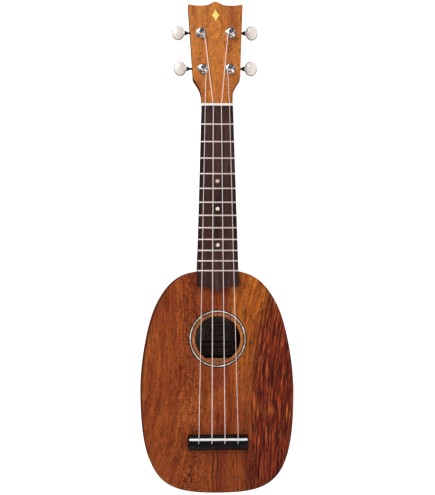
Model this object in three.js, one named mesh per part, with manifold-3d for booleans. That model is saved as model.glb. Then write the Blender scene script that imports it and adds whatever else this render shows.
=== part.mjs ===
// Soprano ukulele with a pineapple-shaped body and geared tuners, lying on its back.
//
// Millimetres. +Y runs from the tail to the headstock, +X is the treble side and +Z leaves the soundboard.
// Inside this file Y counts from the tail; the outer group moves the origin to mid-length, so that it is
// the centre of the instrument's footprint, on the flat back.

import * as THREE from 'three';
import { mergeVertices } from 'three/addons/utils/BufferGeometryUtils.js';
import Module from 'manifold-3d';

const wasm = await Module();
wasm.setup();

// ---------------------------------------------------------------- driving dimensions

const GLUE = 0.05; // glue line between pieces that touch
const TILTED_GLUE = 0.1; // the same, in the tilted headstock
const TURN = 2 * Math.PI;

// Strings and scale
const SCALE = 348; // nut to bridge, before compensation
const COMPENSATION = 3.6; // how far the saddle is set back
const STRINGS = [
  { letter: 'g', side: -1, outer: true, diameter: 0.62 },
  { letter: 'c', side: -1, outer: false, diameter: 0.84 },
  { letter: 'e', side: 1, outer: false, diameter: 0.72 },
  { letter: 'a', side: 1, outer: true, diameter: 0.56 },
];
const NUT_SPACING = 8.55;
const SADDLE_SPACING = 13.8;
const KNOT_RADIUS = 1.25;

// Body
const BODY_LENGTH = 234;
const BODY_HALF_WIDTH = 80.2;
const WIDEST_Y = 106.4;
const SHOULDER = new THREE.Vector2(63.4, 197.6); // where the side leaves the body's flank for the neck end
const BODY_DEPTH = 58;
const TOP_THICKNESS = 2;
const BACK_THICKNESS = 2.2;
const RIM_THICKNESS = 2;
const EDGE_ROUNDING = 0.8;
const OUTLINE_STEPS = 12; // points on each of the outline's three curves
const LINING = { width: 4.5, height: 8, clearance: 0.8 };

// Soundhole and rosette
const SOUNDHOLE_Y = 162.2;
const SOUNDHOLE_RADIUS = 23.85;
const ROSETTE = { inner: 27.3, outer: 30.8, depth: 1 };
const ROUND_STEPS = 32; // sides of the soundhole and of the rosette

// Blocks, braces and label inside the body
const NECK_BLOCK = { halfWidth: 26, length: 22 };
const TAIL_BLOCK = { halfWidth: 30, length: 14 };
const BRACE = { height: 8, tip: 2.5, taper: 22 };
const UPPER_TOP_BRACE = { y: 199, width: 7 };
const LOWER_TOP_BRACE = { y: 137.6, width: 8 };
const UPPER_BACK_BRACE = { y: 199, width: 8 };
const LOWER_BACK_BRACE = { y: 76, width: 8 };
const BRIDGE_PLATE = { halfWidth: 42, y0: 41, y1: 68, thickness: 1.8 };
const LABEL = { halfWidth: 20.5, y0: 143.6, y1: 189, thickness: 0.15 };

// Neck, fingerboard and frets
const NUT_HALF_WIDTH = 16.65;
const TWELFTH_HALF_WIDTH = 21.85;
const FRET_COUNT = 12;
const FINGERBOARD = { thickness: 4.5, end: 216.9, corner: 3 };
const CROWN = { halfWidth: 11, height: 4.2 }; // ogee point on the fingerboard's end and the headstock's top
const FRET = { crownWidth: 1.5, crownHeight: 0.9, tangWidth: 0.6, tangDepth: 1.5, inset: 0.3 };
const DOT_AFTER_FRETS = [4, 6, 9]; // the dot lies between this fret and the next
const DOT = { radius: 2, thickness: 0.9 };
const NECK_DEPTH_AT_NUT = 13.5;
const NECK_DEPTH_AT_HEEL = 15;
const NECK_ROUNDNESS = 2.2; // exponent of the section's half ellipse
const HEEL = { end: 285, run: 36, depth: 66, steps: 6 };

// Nut, saddle and bridge
const NUT = { thickness: 2.6, height: 6.4, rounding: 0.6, slotClearance: 0.14 };
const STRING_ABOVE_FIRST_FRET = 0.35;
const ACTION_AT_TWELFTH = 2.3;
const SADDLE = { thickness: 2.5, length: 61.2 };
const BRIDGE = {
  length: 62.9, front: 5, back: 11.3, height: 6.4, lip: 2.8, slotDepth: 3.4, frontBevel: 2.4, backBevel: 3.2,
};
const KNOT_BORE = { radius: 1.6, height: 2.4, depth: 4.9, knot: 8 }; // the knot lies 8 behind the saddle
const STRING_HOLE_RADIUS = 0.56;

// Headstock
const HEAD_TILT = THREE.MathUtils.degToRad(12.5);
const HEAD_LENGTH = 113.3;
const HEAD_THICKNESS = 12;
const VENEER = 1.8;
const HEAD_TOP = { halfWidth: 29.25, horn: 1.2 }; // the horns rise above the dips beside the crown
const HEAD_SHOULDER = { start: 7, y: 26.8, end: 30.5, halfWidth: 25.2 }; // the sides leave the neck's width
const EMBLEM = { y: 97.5, halfWidth: 4.2, halfHeight: 7, thickness: 0.7 };

// Tuners: each post stands through the headstock, with a worm behind it
const UPPER_POST = { x: 15.8, y: 77.7 };
const LOWER_POST = { x: 14.35, y: 37.7 };
const POST = { radius: 3, waist: 2.6, waistStart: 5.9, waistEnd: 10, top: 11.8, hole: 0.95, pivot: 1.5 };
const POST_CLEARANCE = 0.1;
const BUSHING = { washerRadius: 5.8, washer: 0.7, hexRadius: 5.3, hex: 2.6, sleeveRadius: 4.1, sleeve: 6 };
const POST_HOLE_RADIUS = 4.3;
const WHEEL_TEETH = 14;
const WHEEL_RADIUS = 4;
const WORM_RADIUS = 2;
const TOOTH = { tip: 0.55, root: 0.7, width: 0.7, tipWidth: 0.34, rootWidth: 1.15 };
const WHEEL_THICKNESS = 3.2;
const WORM_Z = -17;
const WORM_TURNS = 3.6;
const HOUSING = {
  wall: 1.45, floor: 1.5, back: -6.4, front: 10.3, halfWidth: 6.4, depth: 9.2, corner: 2.2,
  boss: 2.2, bossRadius: 2.9,
};
const SHAFT = { radius: 1.25, journal: 5.9, tangRadius: 1.4, tangEnd: 24.3 };
const COLLAR = { start: 14.6, end: 16.5, radius: 2.7 };
const BUTTON = { centre: 23.5, halfLength: 6.9, halfWidth: 8.3, halfThickness: 2.9, flatness: 0.62 };
const TURNED_STEPS = 14; // sides of the small turned pieces

// ---------------------------------------------------------------- derived places

const NUT_Y = BODY_LENGTH + SCALE / 2; // the twelfth fret stands over the end of the body
const HEAD_Y = NUT_Y + NUT.thickness;
const SADDLE_Y = NUT_Y - SCALE - COMPENSATION;
const BOARD_TOP = BODY_DEPTH + FINGERBOARD.thickness;
const FRET_TOP = BOARD_TOP + FRET.crownHeight;
const STRING_AT_NUT = FRET_TOP + STRING_ABOVE_FIRST_FRET; // underside of every string
const STRING_AT_TWELFTH = FRET_TOP + ACTION_AT_TWELFTH;
const STRING_RISE = (STRING_AT_TWELFTH - STRING_AT_NUT) / (SCALE / 2);
const SADDLE_TOP = STRING_AT_NUT + STRING_RISE * (NUT_Y - SADDLE_Y);
const TOTAL_LENGTH = HEAD_Y + HEAD_LENGTH * Math.cos(HEAD_TILT) + VENEER * Math.sin(HEAD_TILT);
const RIM_BOTTOM = BACK_THICKNESS + GLUE;
const RIM_TOP = BODY_DEPTH - TOP_THICKNESS - GLUE;
const BUSHING_TOP = VENEER + TILTED_GLUE + BUSHING.washer + BUSHING.hex;
const GEAR_CENTRES = WHEEL_RADIUS + WORM_RADIUS;
const WORM_LEAD = (TURN * WHEEL_RADIUS) / WHEEL_TEETH;

const fretY = (number) => NUT_Y - SCALE * (1 - 2 ** (-number / 12));
const dotY = (number) => (fretY(number) + fretY(number + 1)) / 2;
const boardHalfWidth = (y) => THREE.MathUtils.mapLinear(
  y, NUT_Y, BODY_LENGTH, NUT_HALF_WIDTH, TWELFTH_HALF_WIDTH,
);

// ---------------------------------------------------------------- finishes

const KOA = { color: 0x9a5429, roughness: 0.35, metalness: 0 };
const INNER_WOOD = { color: 0xb98b5e, roughness: 0.8, metalness: 0 };
const NECK_WOOD = { color: 0x7d4325, roughness: 0.4, metalness: 0 };
const ROSEWOOD = { color: 0x3b2723, roughness: 0.5, metalness: 0 };
const BRIDGE_WOOD = { color: 0x231c1a, roughness: 0.45, metalness: 0 };
const BONE = { color: 0xf3f1ea, roughness: 0.35, metalness: 0 };
const PEARL = { color: 0xe8e2d2, roughness: 0.25, metalness: 0 };
const FRET_METAL = { color: 0xd9d2c8, roughness: 0.3, metalness: 1 };
const CHROME = { color: 0xd8dadd, roughness: 0.12, metalness: 1 };
const DARK_STEEL = { color: 0x4a4a4c, roughness: 0.3, metalness: 1 };
const BUTTON_PLASTIC = { color: 0xebe6dc, roughness: 0.25, metalness: 0 };
const STRING_NYLON = { color: 0xe9dcd6, roughness: 0.3, metalness: 0 };
const PAPER = { color: 0x8d8578, roughness: 0.9, metalness: 0 };
const GOLD = { color: 0xe2b655, roughness: 0.3, metalness: 1 };

// ---------------------------------------------------------------- building helpers

function solid(geometry) {
  const bare = geometry.clone();
  bare.deleteAttribute('normal');
  bare.deleteAttribute('uv');
  const merged = mergeVertices(bare);
  return new wasm.Manifold(new wasm.Mesh({
    numProp: 3,
    vertProperties: merged.attributes.position.array,
    triVerts: Uint32Array.from(merged.index.array),
  }));
}

function geometryOf(manifold) {
  const mesh = manifold.getMesh();
  const geometry = new THREE.BufferGeometry();
  geometry.setAttribute('position', new THREE.BufferAttribute(mesh.vertProperties, 3));
  geometry.setIndex(new THREE.BufferAttribute(mesh.triVerts, 1));
  return geometry;
}

// The blank with every cutter taken away.
function carve(blank, cutters) {
  return geometryOf(cutters.reduce((left, cutter) => left.subtract(solid(cutter)), solid(blank)));
}

function fuse(pieces) {
  return geometryOf(pieces.map(solid).reduce((whole, piece) => whole.add(piece)));
}

function common(first, second) {
  return geometryOf(solid(first).intersect(solid(second)));
}

function add(group, name, geometry, finish) {
  const mesh = new THREE.Mesh(geometry, new THREE.MeshStandardMaterial(finish));
  mesh.name = name;
  group.add(mesh);
  return mesh;
}

function block([x0, x1], [y0, y1], [z0, z1]) {
  const geometry = new THREE.BoxGeometry(x1 - x0, y1 - y0, z1 - z0);
  return geometry.translate((x0 + x1) / 2, (y0 + y1) / 2, (z0 + z1) / 2);
}

// A flat outline in X and Y, raised from z0 to z1.
function slab(outline, z0, z1, hole) {
  const shape = new THREE.Shape(outline);
  if (hole) shape.holes.push(new THREE.Path(hole));
  return new THREE.ExtrudeGeometry(shape, { depth: z1 - z0, bevelEnabled: false }).translate(0, 0, z0);
}

// A profile in Y and Z, drawn as [y, z] pairs and stretched along X about its middle.
function bar(profile, length) {
  const shape = new THREE.Shape(profile.map(([y, z]) => new THREE.Vector2(y, z)));
  const geometry = new THREE.ExtrudeGeometry(shape, { depth: length, bevelEnabled: false });
  const axes = new THREE.Matrix4().makeBasis(
    new THREE.Vector3(0, 1, 0), new THREE.Vector3(0, 0, 1), new THREE.Vector3(1, 0, 0),
  );
  return geometry.translate(0, 0, -length / 2).applyMatrix4(axes);
}

// A turned piece about Z, from [radius, z] pairs that go upwards.
function turned(profile, sides = TURNED_STEPS) {
  const points = profile.map(([radius, z]) => new THREE.Vector2(radius, z));
  return new THREE.LatheGeometry(points, sides).rotateX(Math.PI / 2);
}

// Rings of equally many points, in order along +Z or +Y, joined into one closed solid. Each ring runs
// anticlockwise as seen from the end that the axis points to.
function loft(rings, axis) {
  const count = rings[0].length;
  const flat = axis === 'z'
    ? (p) => new THREE.Vector2(p.x, p.y)
    : (p) => new THREE.Vector2(p.z, p.x);
  const indices = [];
  for (const [a, b, c] of THREE.ShapeUtils.triangulateShape(rings[0].map(flat), [])) indices.push(a, c, b);
  const last = (rings.length - 1) * count;
  for (const [a, b, c] of THREE.ShapeUtils.triangulateShape(rings.at(-1).map(flat), [])) {
    indices.push(last + a, last + b, last + c);
  }
  for (let ring = 0; ring < rings.length - 1; ring++) {
    for (let i = 0; i < count; i++) {
      const a = ring * count + i;
      const b = ring * count + ((i + 1) % count);
      indices.push(a, b, b + count, a, b + count, a + count);
    }
  }
  const geometry = new THREE.BufferGeometry().setFromPoints(rings.flat());
  geometry.setIndex(indices);
  return geometry;
}

function circle(radius, sides, x = 0, y = 0, start = 0) {
  return Array.from({ length: sides }, (_, i) => {
    const angle = start + (i / sides) * TURN;
    return new THREE.Vector2(x + radius * Math.cos(angle), y + radius * Math.sin(angle));
  });
}

// A route that passes exactly through its points, with a section at each one and none between.
class Route extends THREE.Curve {
  constructor(points) {
    super();
    this.points = points;
  }

  getPointAt(u) {
    return this.points[Math.round(u * (this.points.length - 1))];
  }

  getTangentAt(u) {
    const i = Math.round(u * (this.points.length - 1));
    const before = this.points[Math.max(i - 1, 0)];
    const here = this.points[i];
    const after = this.points[Math.min(i + 1, this.points.length - 1)];
    const inward = here.clone().sub(before).normalize();
    return after.clone().sub(here).normalize().add(inward).normalize();
  }

  getSpacedPoints() {
    return this.points;
  }
}

function tube(points, radius, sides) {
  const section = new THREE.Shape(circle(radius, sides));
  return new THREE.ExtrudeGeometry(section, { steps: points.length - 1, extrudePath: new Route(points) });
}

// A left-handed screw thread's axis along X. Its sections stand square to the axis and turn round it.
class ThreadAxis extends THREE.Curve {
  constructor(lead, turns) {
    super();
    this.lead = lead;
    this.turns = turns;
  }

  getSpacedPoints(steps) {
    return Array.from({ length: steps + 1 }, (_, i) => (
      new THREE.Vector3(-(i / steps - 0.5) * this.turns * this.lead, 0, 0)
    ));
  }

  computeFrenetFrames(steps) {
    const angles = Array.from({ length: steps + 1 }, (_, i) => (i / steps - 0.5) * this.turns * TURN);
    return {
      tangents: angles.map((angle) => new THREE.Vector3(0, -Math.sin(angle), Math.cos(angle))),
      normals: angles.map((angle) => new THREE.Vector3(0, Math.cos(angle), Math.sin(angle))),
      binormals: angles.map(() => new THREE.Vector3(-1, 0, 0)),
    };
  }
}

// ---------------------------------------------------------------- the body's outline

function bodyOutline() {
  const right = new THREE.Path();
  right.moveTo(0, 0);
  right.bezierCurveTo(58, 0, BODY_HALF_WIDTH, 10.5, BODY_HALF_WIDTH, WIDEST_Y);
  right.bezierCurveTo(BODY_HALF_WIDTH, 137.9, 72.2, 179.6, SHOULDER.x, SHOULDER.y);
  right.bezierCurveTo(44.4, 236.7, 22.3, BODY_LENGTH, 0, BODY_LENGTH);
  const half = right.getPoints(OUTLINE_STEPS);
  const left = half.slice(1, -1).reverse().map((p) => new THREE.Vector2(-p.x, p.y));
  return [...half, ...left];
}

const OUTLINE = bodyOutline();

// The outline moved inwards.
function inset(distance, outline = OUTLINE) {
  const count = outline.length;
  return outline.map((point, i) => {
    const before = outline[(i + count - 1) % count];
    const after = outline[(i + 1) % count];
    const along = after.clone().sub(before).normalize();
    return new THREE.Vector2(point.x - along.y * distance, point.y + along.x * distance);
  });
}

function halfWidthAt(y, outline) {
  const right = outline.filter((point) => point.x >= 0).sort((a, b) => a.y - b.y);
  const next = right.findIndex((point) => point.y >= y);
  const [low, high] = [right[next - 1], right[next]];
  return THREE.MathUtils.mapLinear(y, low.y, high.y, low.x, high.x);
}

// ---------------------------------------------------------------- body pieces

const at = (outline, z) => outline.map((point) => new THREE.Vector3(point.x, point.y, z));

function soundboard() {
  const edge = BODY_DEPTH - EDGE_ROUNDING;
  const plate = loft(
    [at(OUTLINE, BODY_DEPTH - TOP_THICKNESS), at(OUTLINE, edge), at(inset(EDGE_ROUNDING), BODY_DEPTH)], 'z',
  );
  const hole = slab(
    circle(SOUNDHOLE_RADIUS, ROUND_STEPS, 0, SOUNDHOLE_Y), BODY_DEPTH - 2 * TOP_THICKNESS, BODY_DEPTH + 1,
  );
  const channel = slab(
    circle(ROSETTE.outer + GLUE, ROUND_STEPS, 0, SOUNDHOLE_Y),
    BODY_DEPTH - ROSETTE.depth - GLUE,
    BODY_DEPTH + 1,
    circle(ROSETTE.inner - GLUE, ROUND_STEPS, 0, SOUNDHOLE_Y),
  );
  return carve(plate, [hole, channel]);
}

function backPlate() {
  return loft(
    [at(inset(EDGE_ROUNDING), 0), at(OUTLINE, EDGE_ROUNDING), at(OUTLINE, BACK_THICKNESS)], 'z',
  );
}

// A strip that lines the rim all round. Every second point of the outline is enough for it.
function lining(z0, z1) {
  const coarse = (distance) => inset(distance).filter((_, i) => i % 2 === 0);
  const outer = coarse(RIM_THICKNESS + GLUE);
  return slab(outer, z0, z1, coarse(RIM_THICKNESS + GLUE + LINING.width));
}

// An end block that fills the body's depth and is notched for the linings.
function endBlock(halfWidth, y0, y1) {
  const inside = slab(inset(RIM_THICKNESS + GLUE), RIM_BOTTOM, RIM_TOP);
  const blank = common(inside, block([-halfWidth, halfWidth], [y0, y1], [0, BODY_DEPTH]));
  const outer = inset(RIM_THICKNESS / 2);
  const inner = inset(RIM_THICKNESS + LINING.width + LINING.clearance);
  const notchHeight = LINING.height + GLUE;
  return carve(blank, [
    slab(outer, 0, RIM_BOTTOM + notchHeight, inner),
    slab(outer, RIM_TOP - notchHeight, BODY_DEPTH, inner),
  ]);
}

// A bar across the inside of a plate, lower towards its two ends. It grows from z towards `direction`.
function brace({ y, width }, z, direction) {
  const inner = inset(RIM_THICKNESS + LINING.width + 2 * LINING.clearance);
  const reach = Math.min(halfWidthAt(y - width / 2, inner), halfWidthAt(y + width / 2, inner));
  const profile = [
    [-reach, 0], [reach, 0], [reach, BRACE.tip], [reach - BRACE.taper, BRACE.height],
    [BRACE.taper - reach, BRACE.height], [-reach, BRACE.tip],
  ].map(([x, height]) => new THREE.Vector2(x, height));
  const geometry = new THREE.ExtrudeGeometry(new THREE.Shape(profile), { depth: width, bevelEnabled: false });
  geometry.translate(0, 0, -width / 2).rotateX((direction * Math.PI) / 2);
  return geometry.translate(0, y, z);
}

function addBody(group) {
  add(group, 'soundboard', soundboard(), KOA);
  add(group, 'back_plate', backPlate(), KOA);
  add(group, 'rim', slab(OUTLINE, RIM_BOTTOM, RIM_TOP, inset(RIM_THICKNESS)), KOA);
  add(group, 'top_lining', lining(RIM_TOP - LINING.height, RIM_TOP), INNER_WOOD);
  add(group, 'back_lining', lining(RIM_BOTTOM, RIM_BOTTOM + LINING.height), INNER_WOOD);
  add(group, 'neck_block', endBlock(
    NECK_BLOCK.halfWidth, BODY_LENGTH - RIM_THICKNESS - NECK_BLOCK.length, BODY_LENGTH,
  ), INNER_WOOD);
  add(group, 'tail_block', endBlock(TAIL_BLOCK.halfWidth, 0, RIM_THICKNESS + TAIL_BLOCK.length), INNER_WOOD);
  add(group, 'upper_top_brace', brace(UPPER_TOP_BRACE, RIM_TOP, -1), INNER_WOOD);
  add(group, 'lower_top_brace', brace(LOWER_TOP_BRACE, RIM_TOP, -1), INNER_WOOD);
  add(group, 'upper_back_brace', brace(UPPER_BACK_BRACE, RIM_BOTTOM, 1), INNER_WOOD);
  add(group, 'lower_back_brace', brace(LOWER_BACK_BRACE, RIM_BOTTOM, 1), INNER_WOOD);
  add(group, 'bridge_plate', block(
    [-BRIDGE_PLATE.halfWidth, BRIDGE_PLATE.halfWidth],
    [BRIDGE_PLATE.y0, BRIDGE_PLATE.y1],
    [RIM_TOP - BRIDGE_PLATE.thickness, RIM_TOP],
  ), INNER_WOOD);
  add(group, 'label', block(
    [-LABEL.halfWidth, LABEL.halfWidth], [LABEL.y0, LABEL.y1], [RIM_BOTTOM, RIM_BOTTOM + LABEL.thickness],
  ), PAPER);
  add(group, 'rosette_ring', slab(
    circle(ROSETTE.outer, ROUND_STEPS, 0, SOUNDHOLE_Y),
    BODY_DEPTH - ROSETTE.depth,
    BODY_DEPTH,
    circle(ROSETTE.inner, ROUND_STEPS, 0, SOUNDHOLE_Y),
  ), PEARL);
}

// ---------------------------------------------------------------- headstock outline

// Half of an ogee point, from its foot to its tip; `lift` is +1 or -1 along Y.
function crownHalf(path, side, y, lift) {
  const { halfWidth, height } = CROWN;
  path.bezierCurveTo(
    side * halfWidth * 0.55, y + lift * 0.1, side * halfWidth * 0.4, y + lift * height * 0.85,
    0, y + lift * height,
  );
}

// The other half, from the tip down to the foot.
function crownReturn(path, side, y, lift) {
  const { halfWidth, height } = CROWN;
  path.bezierCurveTo(
    side * halfWidth * 0.4, y + lift * height * 0.85, side * halfWidth * 0.55, y + lift * 0.1,
    side * halfWidth, y,
  );
}

// Outline of the headstock's face, in X and along the face from the nut. It starts at `start`.
function headOutline(start) {
  const top = HEAD_LENGTH - CROWN.height;
  const low = HEAD_SHOULDER.halfWidth;
  const high = HEAD_TOP.halfWidth;
  const path = new THREE.Path();
  path.moveTo(NUT_HALF_WIDTH, start);
  path.lineTo(NUT_HALF_WIDTH, HEAD_SHOULDER.start);
  path.bezierCurveTo(NUT_HALF_WIDTH, 15, 20.5, 20.5, low - 0.7, HEAD_SHOULDER.y);
  path.quadraticCurveTo(low, 28.2, low, HEAD_SHOULDER.end);
  path.bezierCurveTo(low + 0.7, 52, high - 1.1, 88, high, top + HEAD_TOP.horn);
  path.quadraticCurveTo(high * 0.68, top - HEAD_TOP.horn, CROWN.halfWidth, top);
  crownHalf(path, 1, top, 1);
  const right = path.getPoints(6);
  const left = right.slice(0, -1).reverse().map((p) => new THREE.Vector2(-p.x, p.y));
  return [...right, ...left];
}

// ---------------------------------------------------------------- neck and fingerboard

function neckSection(y) {
  const past = Math.max(y - HEAD_Y, 0);
  const top = BODY_DEPTH - past * Math.tan(HEAD_TILT);
  const slender = THREE.MathUtils.mapLinear(y, HEEL.end, NUT_Y, NECK_DEPTH_AT_HEEL, NECK_DEPTH_AT_NUT);
  const swing = THREE.MathUtils.clamp((HEEL.end - y) / HEEL.run, 0, 1);
  const heel = 1 - Math.sqrt(1 - swing ** 2);
  const volute = THREE.MathUtils.smoothstep(y, HEAD_Y - 6, HEAD_Y + 8);
  const shaft = THREE.MathUtils.lerp(Math.min(slender, NECK_DEPTH_AT_HEEL), HEAD_THICKNESS, volute);
  const depth = THREE.MathUtils.lerp(shaft, HEEL.depth, heel);
  const power = 2 / THREE.MathUtils.lerp(NECK_ROUNDNESS, 12, volute);
  const halfWidth = boardHalfWidth(Math.min(y, NUT_Y));
  const steps = 12;
  return Array.from({ length: steps + 1 }, (_, i) => {
    const angle = (i / steps) * Math.PI;
    const across = Math.sign(Math.cos(angle)) * Math.abs(Math.cos(angle)) ** power;
    const down = Math.abs(Math.sin(angle)) ** power;
    return new THREE.Vector3(halfWidth * across, y, Math.max(top - depth * down, 0));
  });
}

function neck() {
  const stations = [BODY_LENGTH - 12];
  for (let i = HEEL.steps; i >= 0; i--) {
    stations.push(HEEL.end - HEEL.run * Math.sin((i / HEEL.steps) * (Math.PI / 2)));
  }
  stations.push(345, HEAD_Y - 6, HEAD_Y - 3, HEAD_Y);
  for (let i = 1; i <= 3; i++) stations.push(HEAD_Y + i * 3.5);
  const shaft = loft(stations.map(neckSection), 'y');
  const head = slab(headOutline(6.5), -HEAD_THICKNESS, 0);
  head.applyMatrix4(headGroup.matrix);
  const holes = POSTS.map(({ x, y }) => {
    const hole = slab(circle(POST_HOLE_RADIUS, TURNED_STEPS, x, y), -HEAD_THICKNESS - 1, 1);
    return hole.applyMatrix4(headGroup.matrix);
  });
  const body = slab(inset(-GLUE), -1, BODY_DEPTH + 1);
  return carve(fuse([shaft, head]), [...holes, body]);
}

function fingerboard() {
  const outline = new THREE.Path();
  const end = FINGERBOARD.end;
  const wide = boardHalfWidth(end + FINGERBOARD.corner);
  outline.moveTo(-NUT_HALF_WIDTH, NUT_Y - GLUE);
  outline.lineTo(-wide, end + FINGERBOARD.corner);
  outline.quadraticCurveTo(-wide, end, FINGERBOARD.corner - wide, end);
  outline.lineTo(-CROWN.halfWidth, end);
  crownHalf(outline, -1, end, -1);
  crownReturn(outline, 1, end, -1);
  outline.lineTo(wide - FINGERBOARD.corner, end);
  outline.quadraticCurveTo(wide, end, wide, end + FINGERBOARD.corner);
  outline.lineTo(NUT_HALF_WIDTH, NUT_Y - GLUE);
  const board = slab(outline.getPoints(5), BODY_DEPTH + GLUE, BOARD_TOP);
  const slots = Array.from({ length: FRET_COUNT }, (_, i) => {
    const half = FRET.tangWidth / 2 + GLUE;
    const y = fretY(i + 1);
    return block([-30, 30], [y - half, y + half], [BOARD_TOP - FRET.tangDepth - GLUE, BOARD_TOP + 1]);
  });
  const pockets = DOT_AFTER_FRETS.map((number) => slab(
    circle(DOT.radius + GLUE, TURNED_STEPS, 0, dotY(number)), BOARD_TOP - DOT.thickness - GLUE, BOARD_TOP + 1,
  ));
  return carve(board, [...slots, ...pockets]);
}

// A T-shaped wire: a domed crown on the board and a thin tang in its slot.
function fret(number) {
  const y = fretY(number);
  const crown = [0, 1, 2, 3, 4].map((i) => {
    const angle = (i / 4) * Math.PI;
    return [
      y + (FRET.crownWidth / 2) * Math.cos(angle),
      BOARD_TOP + GLUE + (FRET.crownHeight - GLUE) * Math.sin(angle),
    ];
  });
  const half = FRET.tangWidth / 2;
  const tang = [
    [y - half, BOARD_TOP + GLUE], [y - half, BOARD_TOP - FRET.tangDepth],
    [y + half, BOARD_TOP - FRET.tangDepth], [y + half, BOARD_TOP + GLUE],
  ];
  return bar([...crown, ...tang], 2 * (boardHalfWidth(y) - FRET.inset));
}

function addNeck(group) {
  add(group, 'neck', neck(), NECK_WOOD);
  add(group, 'fingerboard', fingerboard(), ROSEWOOD);
  for (let number = 1; number <= FRET_COUNT; number++) {
    add(group, `fret_${String(number).padStart(2, '0')}`, fret(number), FRET_METAL);
  }
  for (const number of DOT_AFTER_FRETS) {
    add(group, `position_dot_${number + 1}`, slab(
      circle(DOT.radius, TURNED_STEPS, 0, dotY(number)), BOARD_TOP - DOT.thickness, BOARD_TOP,
    ), PEARL);
  }
}

// ---------------------------------------------------------------- string routes

const POSTS = STRINGS.map(({ letter, side, outer }) => {
  const post = outer ? LOWER_POST : UPPER_POST;
  return { letter, side, x: side * post.x, y: post.y };
});

const COIL = {
  start: BUSHING_TOP + 0.75, // height of the lowest turn's middle above the headstock's wood
  pitch: 0.95,
  holeRise: 2.65, // from the lowest turn up to the hole in the post
  steps: 14, // points in one turn
  bend: 0.9, // radius of the bend into the hole
  gap: 0.12,
  tail: 1.6, // how far the end stands out of the hole
};

const stringX = (spacing, { side, outer }) => side * (outer ? 1.5 : 0.5) * spacing;

// From the knot in the bridge, over the saddle, straight to the nut.
function speakingPoints(string) {
  const radius = string.diameter / 2;
  const x = stringX(SADDLE_SPACING, string);
  const round = SADDLE.thickness / 2;
  const arc = round + radius + GLUE;
  const knot = new THREE.Vector2(SADDLE_Y - KNOT_BORE.knot, BODY_DEPTH + KNOT_BORE.height);
  const centre = new THREE.Vector2(SADDLE_Y, SADDLE_TOP - round);
  const reach = centre.distanceTo(knot);
  const towardsKnot = Math.atan2(knot.y - centre.y, knot.x - centre.x);
  const first = towardsKnot + TURN - Math.acos(arc / reach);
  const points = [new THREE.Vector3(x, knot.x, knot.y)];
  const steps = 4;
  for (let i = 0; i <= steps; i++) {
    const angle = THREE.MathUtils.lerp(first, Math.PI / 2, i / steps);
    points.push(new THREE.Vector3(
      x, centre.x + arc * Math.cos(angle), centre.y + arc * Math.sin(angle),
    ));
  }
  points.push(new THREE.Vector3(stringX(NUT_SPACING, string), NUT_Y, STRING_AT_NUT + radius + GLUE));
  return points;
}

// Up to the post, round it on the side that faces the middle, and through its hole. Worked out for the bass
// side in the headstock's frame; the treble side is its mirror image.
function coilPoints(string, nutPoint) {
  const post = string.outer ? LOWER_POST : UPPER_POST;
  const radius = POST.waist + string.diameter / 2 + COIL.gap;
  const nut = nutPoint.clone().applyMatrix4(headGroup.matrix.clone().invert());
  const away = new THREE.Vector2(-Math.abs(nut.x) + post.x, nut.y - post.y);
  const first = away.angle() - TURN + Math.acos(radius / away.length());
  const hole = TURN * 2 + Math.PI / 2; // the cross hole lies along the headstock
  const last = hole - COIL.bend / radius;
  const steps = Math.ceil(((last - first) / TURN) * COIL.steps);
  const places = [];
  for (let i = 0; i <= steps; i++) {
    const angle = THREE.MathUtils.lerp(first, last, i / steps);
    const turns = (angle - first) / TURN;
    const even = Math.min(turns, 1.65) * COIL.pitch;
    const climb = THREE.MathUtils.smoothstep(turns, 1.65, (last - first) / TURN);
    const height = THREE.MathUtils.lerp(even, COIL.holeRise, climb);
    places.push([radius * Math.cos(angle), radius * Math.sin(angle), height]);
  }
  const bendSteps = 4;
  for (let i = 1; i <= bendSteps; i++) {
    const angle = (1 - i / bendSteps) * (Math.PI / 2);
    const across = COIL.bend * (1 - Math.cos(angle));
    places.push([across, radius - COIL.bend * (1 - Math.sin(angle)), COIL.holeRise]);
  }
  places.push([0, -(POST.waist + COIL.tail), COIL.holeRise]);
  return places.map(([x, y, height]) => (
    new THREE.Vector3(string.side * (post.x - x), post.y + y, COIL.start + height)
      .applyMatrix4(headGroup.matrix)
  ));
}

function stringRoute(string) {
  const speaking = speakingPoints(string);
  return [...speaking, ...coilPoints(string, speaking.at(-1))];
}

function addStrings(group) {
  for (const string of STRINGS) {
    const route = stringRoute(string);
    const knot = new THREE.SphereGeometry(KNOT_RADIUS, 10, 6).translate(...route[0].toArray());
    const whole = fuse([tube(route, string.diameter / 2, 6), knot]);
    add(group, `string_${string.letter}`, whole, STRING_NYLON);
  }
}

// ---------------------------------------------------------------- nut, saddle and bridge

function nut() {
  const front = NUT_Y;
  const back = HEAD_Y - GLUE;
  const foot = BODY_DEPTH + GLUE;
  const top = BODY_DEPTH + NUT.height;
  const { rounding } = NUT;
  const blank = bar([
    [front, foot], [back, foot], [back, top - 2 * rounding], [back - 1.5 * rounding, top - 0.5 * rounding],
    [front + rounding, top], [front, top - rounding],
  ], 2 * NUT_HALF_WIDTH);
  const floor = STRING_AT_NUT - BODY_DEPTH;
  const past = 2 * NUT.thickness; // the cutter reaches past the nut on every open side
  const cut = [
    [-1, floor], [0, floor], [past, floor - past * Math.tan(HEAD_TILT)], [past, 2 * NUT.height],
    [-1, 2 * NUT.height],
  ];
  const slots = STRINGS.map((string) => {
    const route = stringRoute(string);
    const leaving = speakingPoints(string).length - 1;
    const [from, to] = [route[leaving], route[leaving + 1]];
    const cutter = bar(cut, string.diameter + NUT.slotClearance);
    cutter.rotateZ(-Math.atan2(to.x - from.x, to.y - from.y));
    return cutter.translate(from.x, front, BODY_DEPTH);
  });
  return carve(blank, slots);
}

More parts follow.
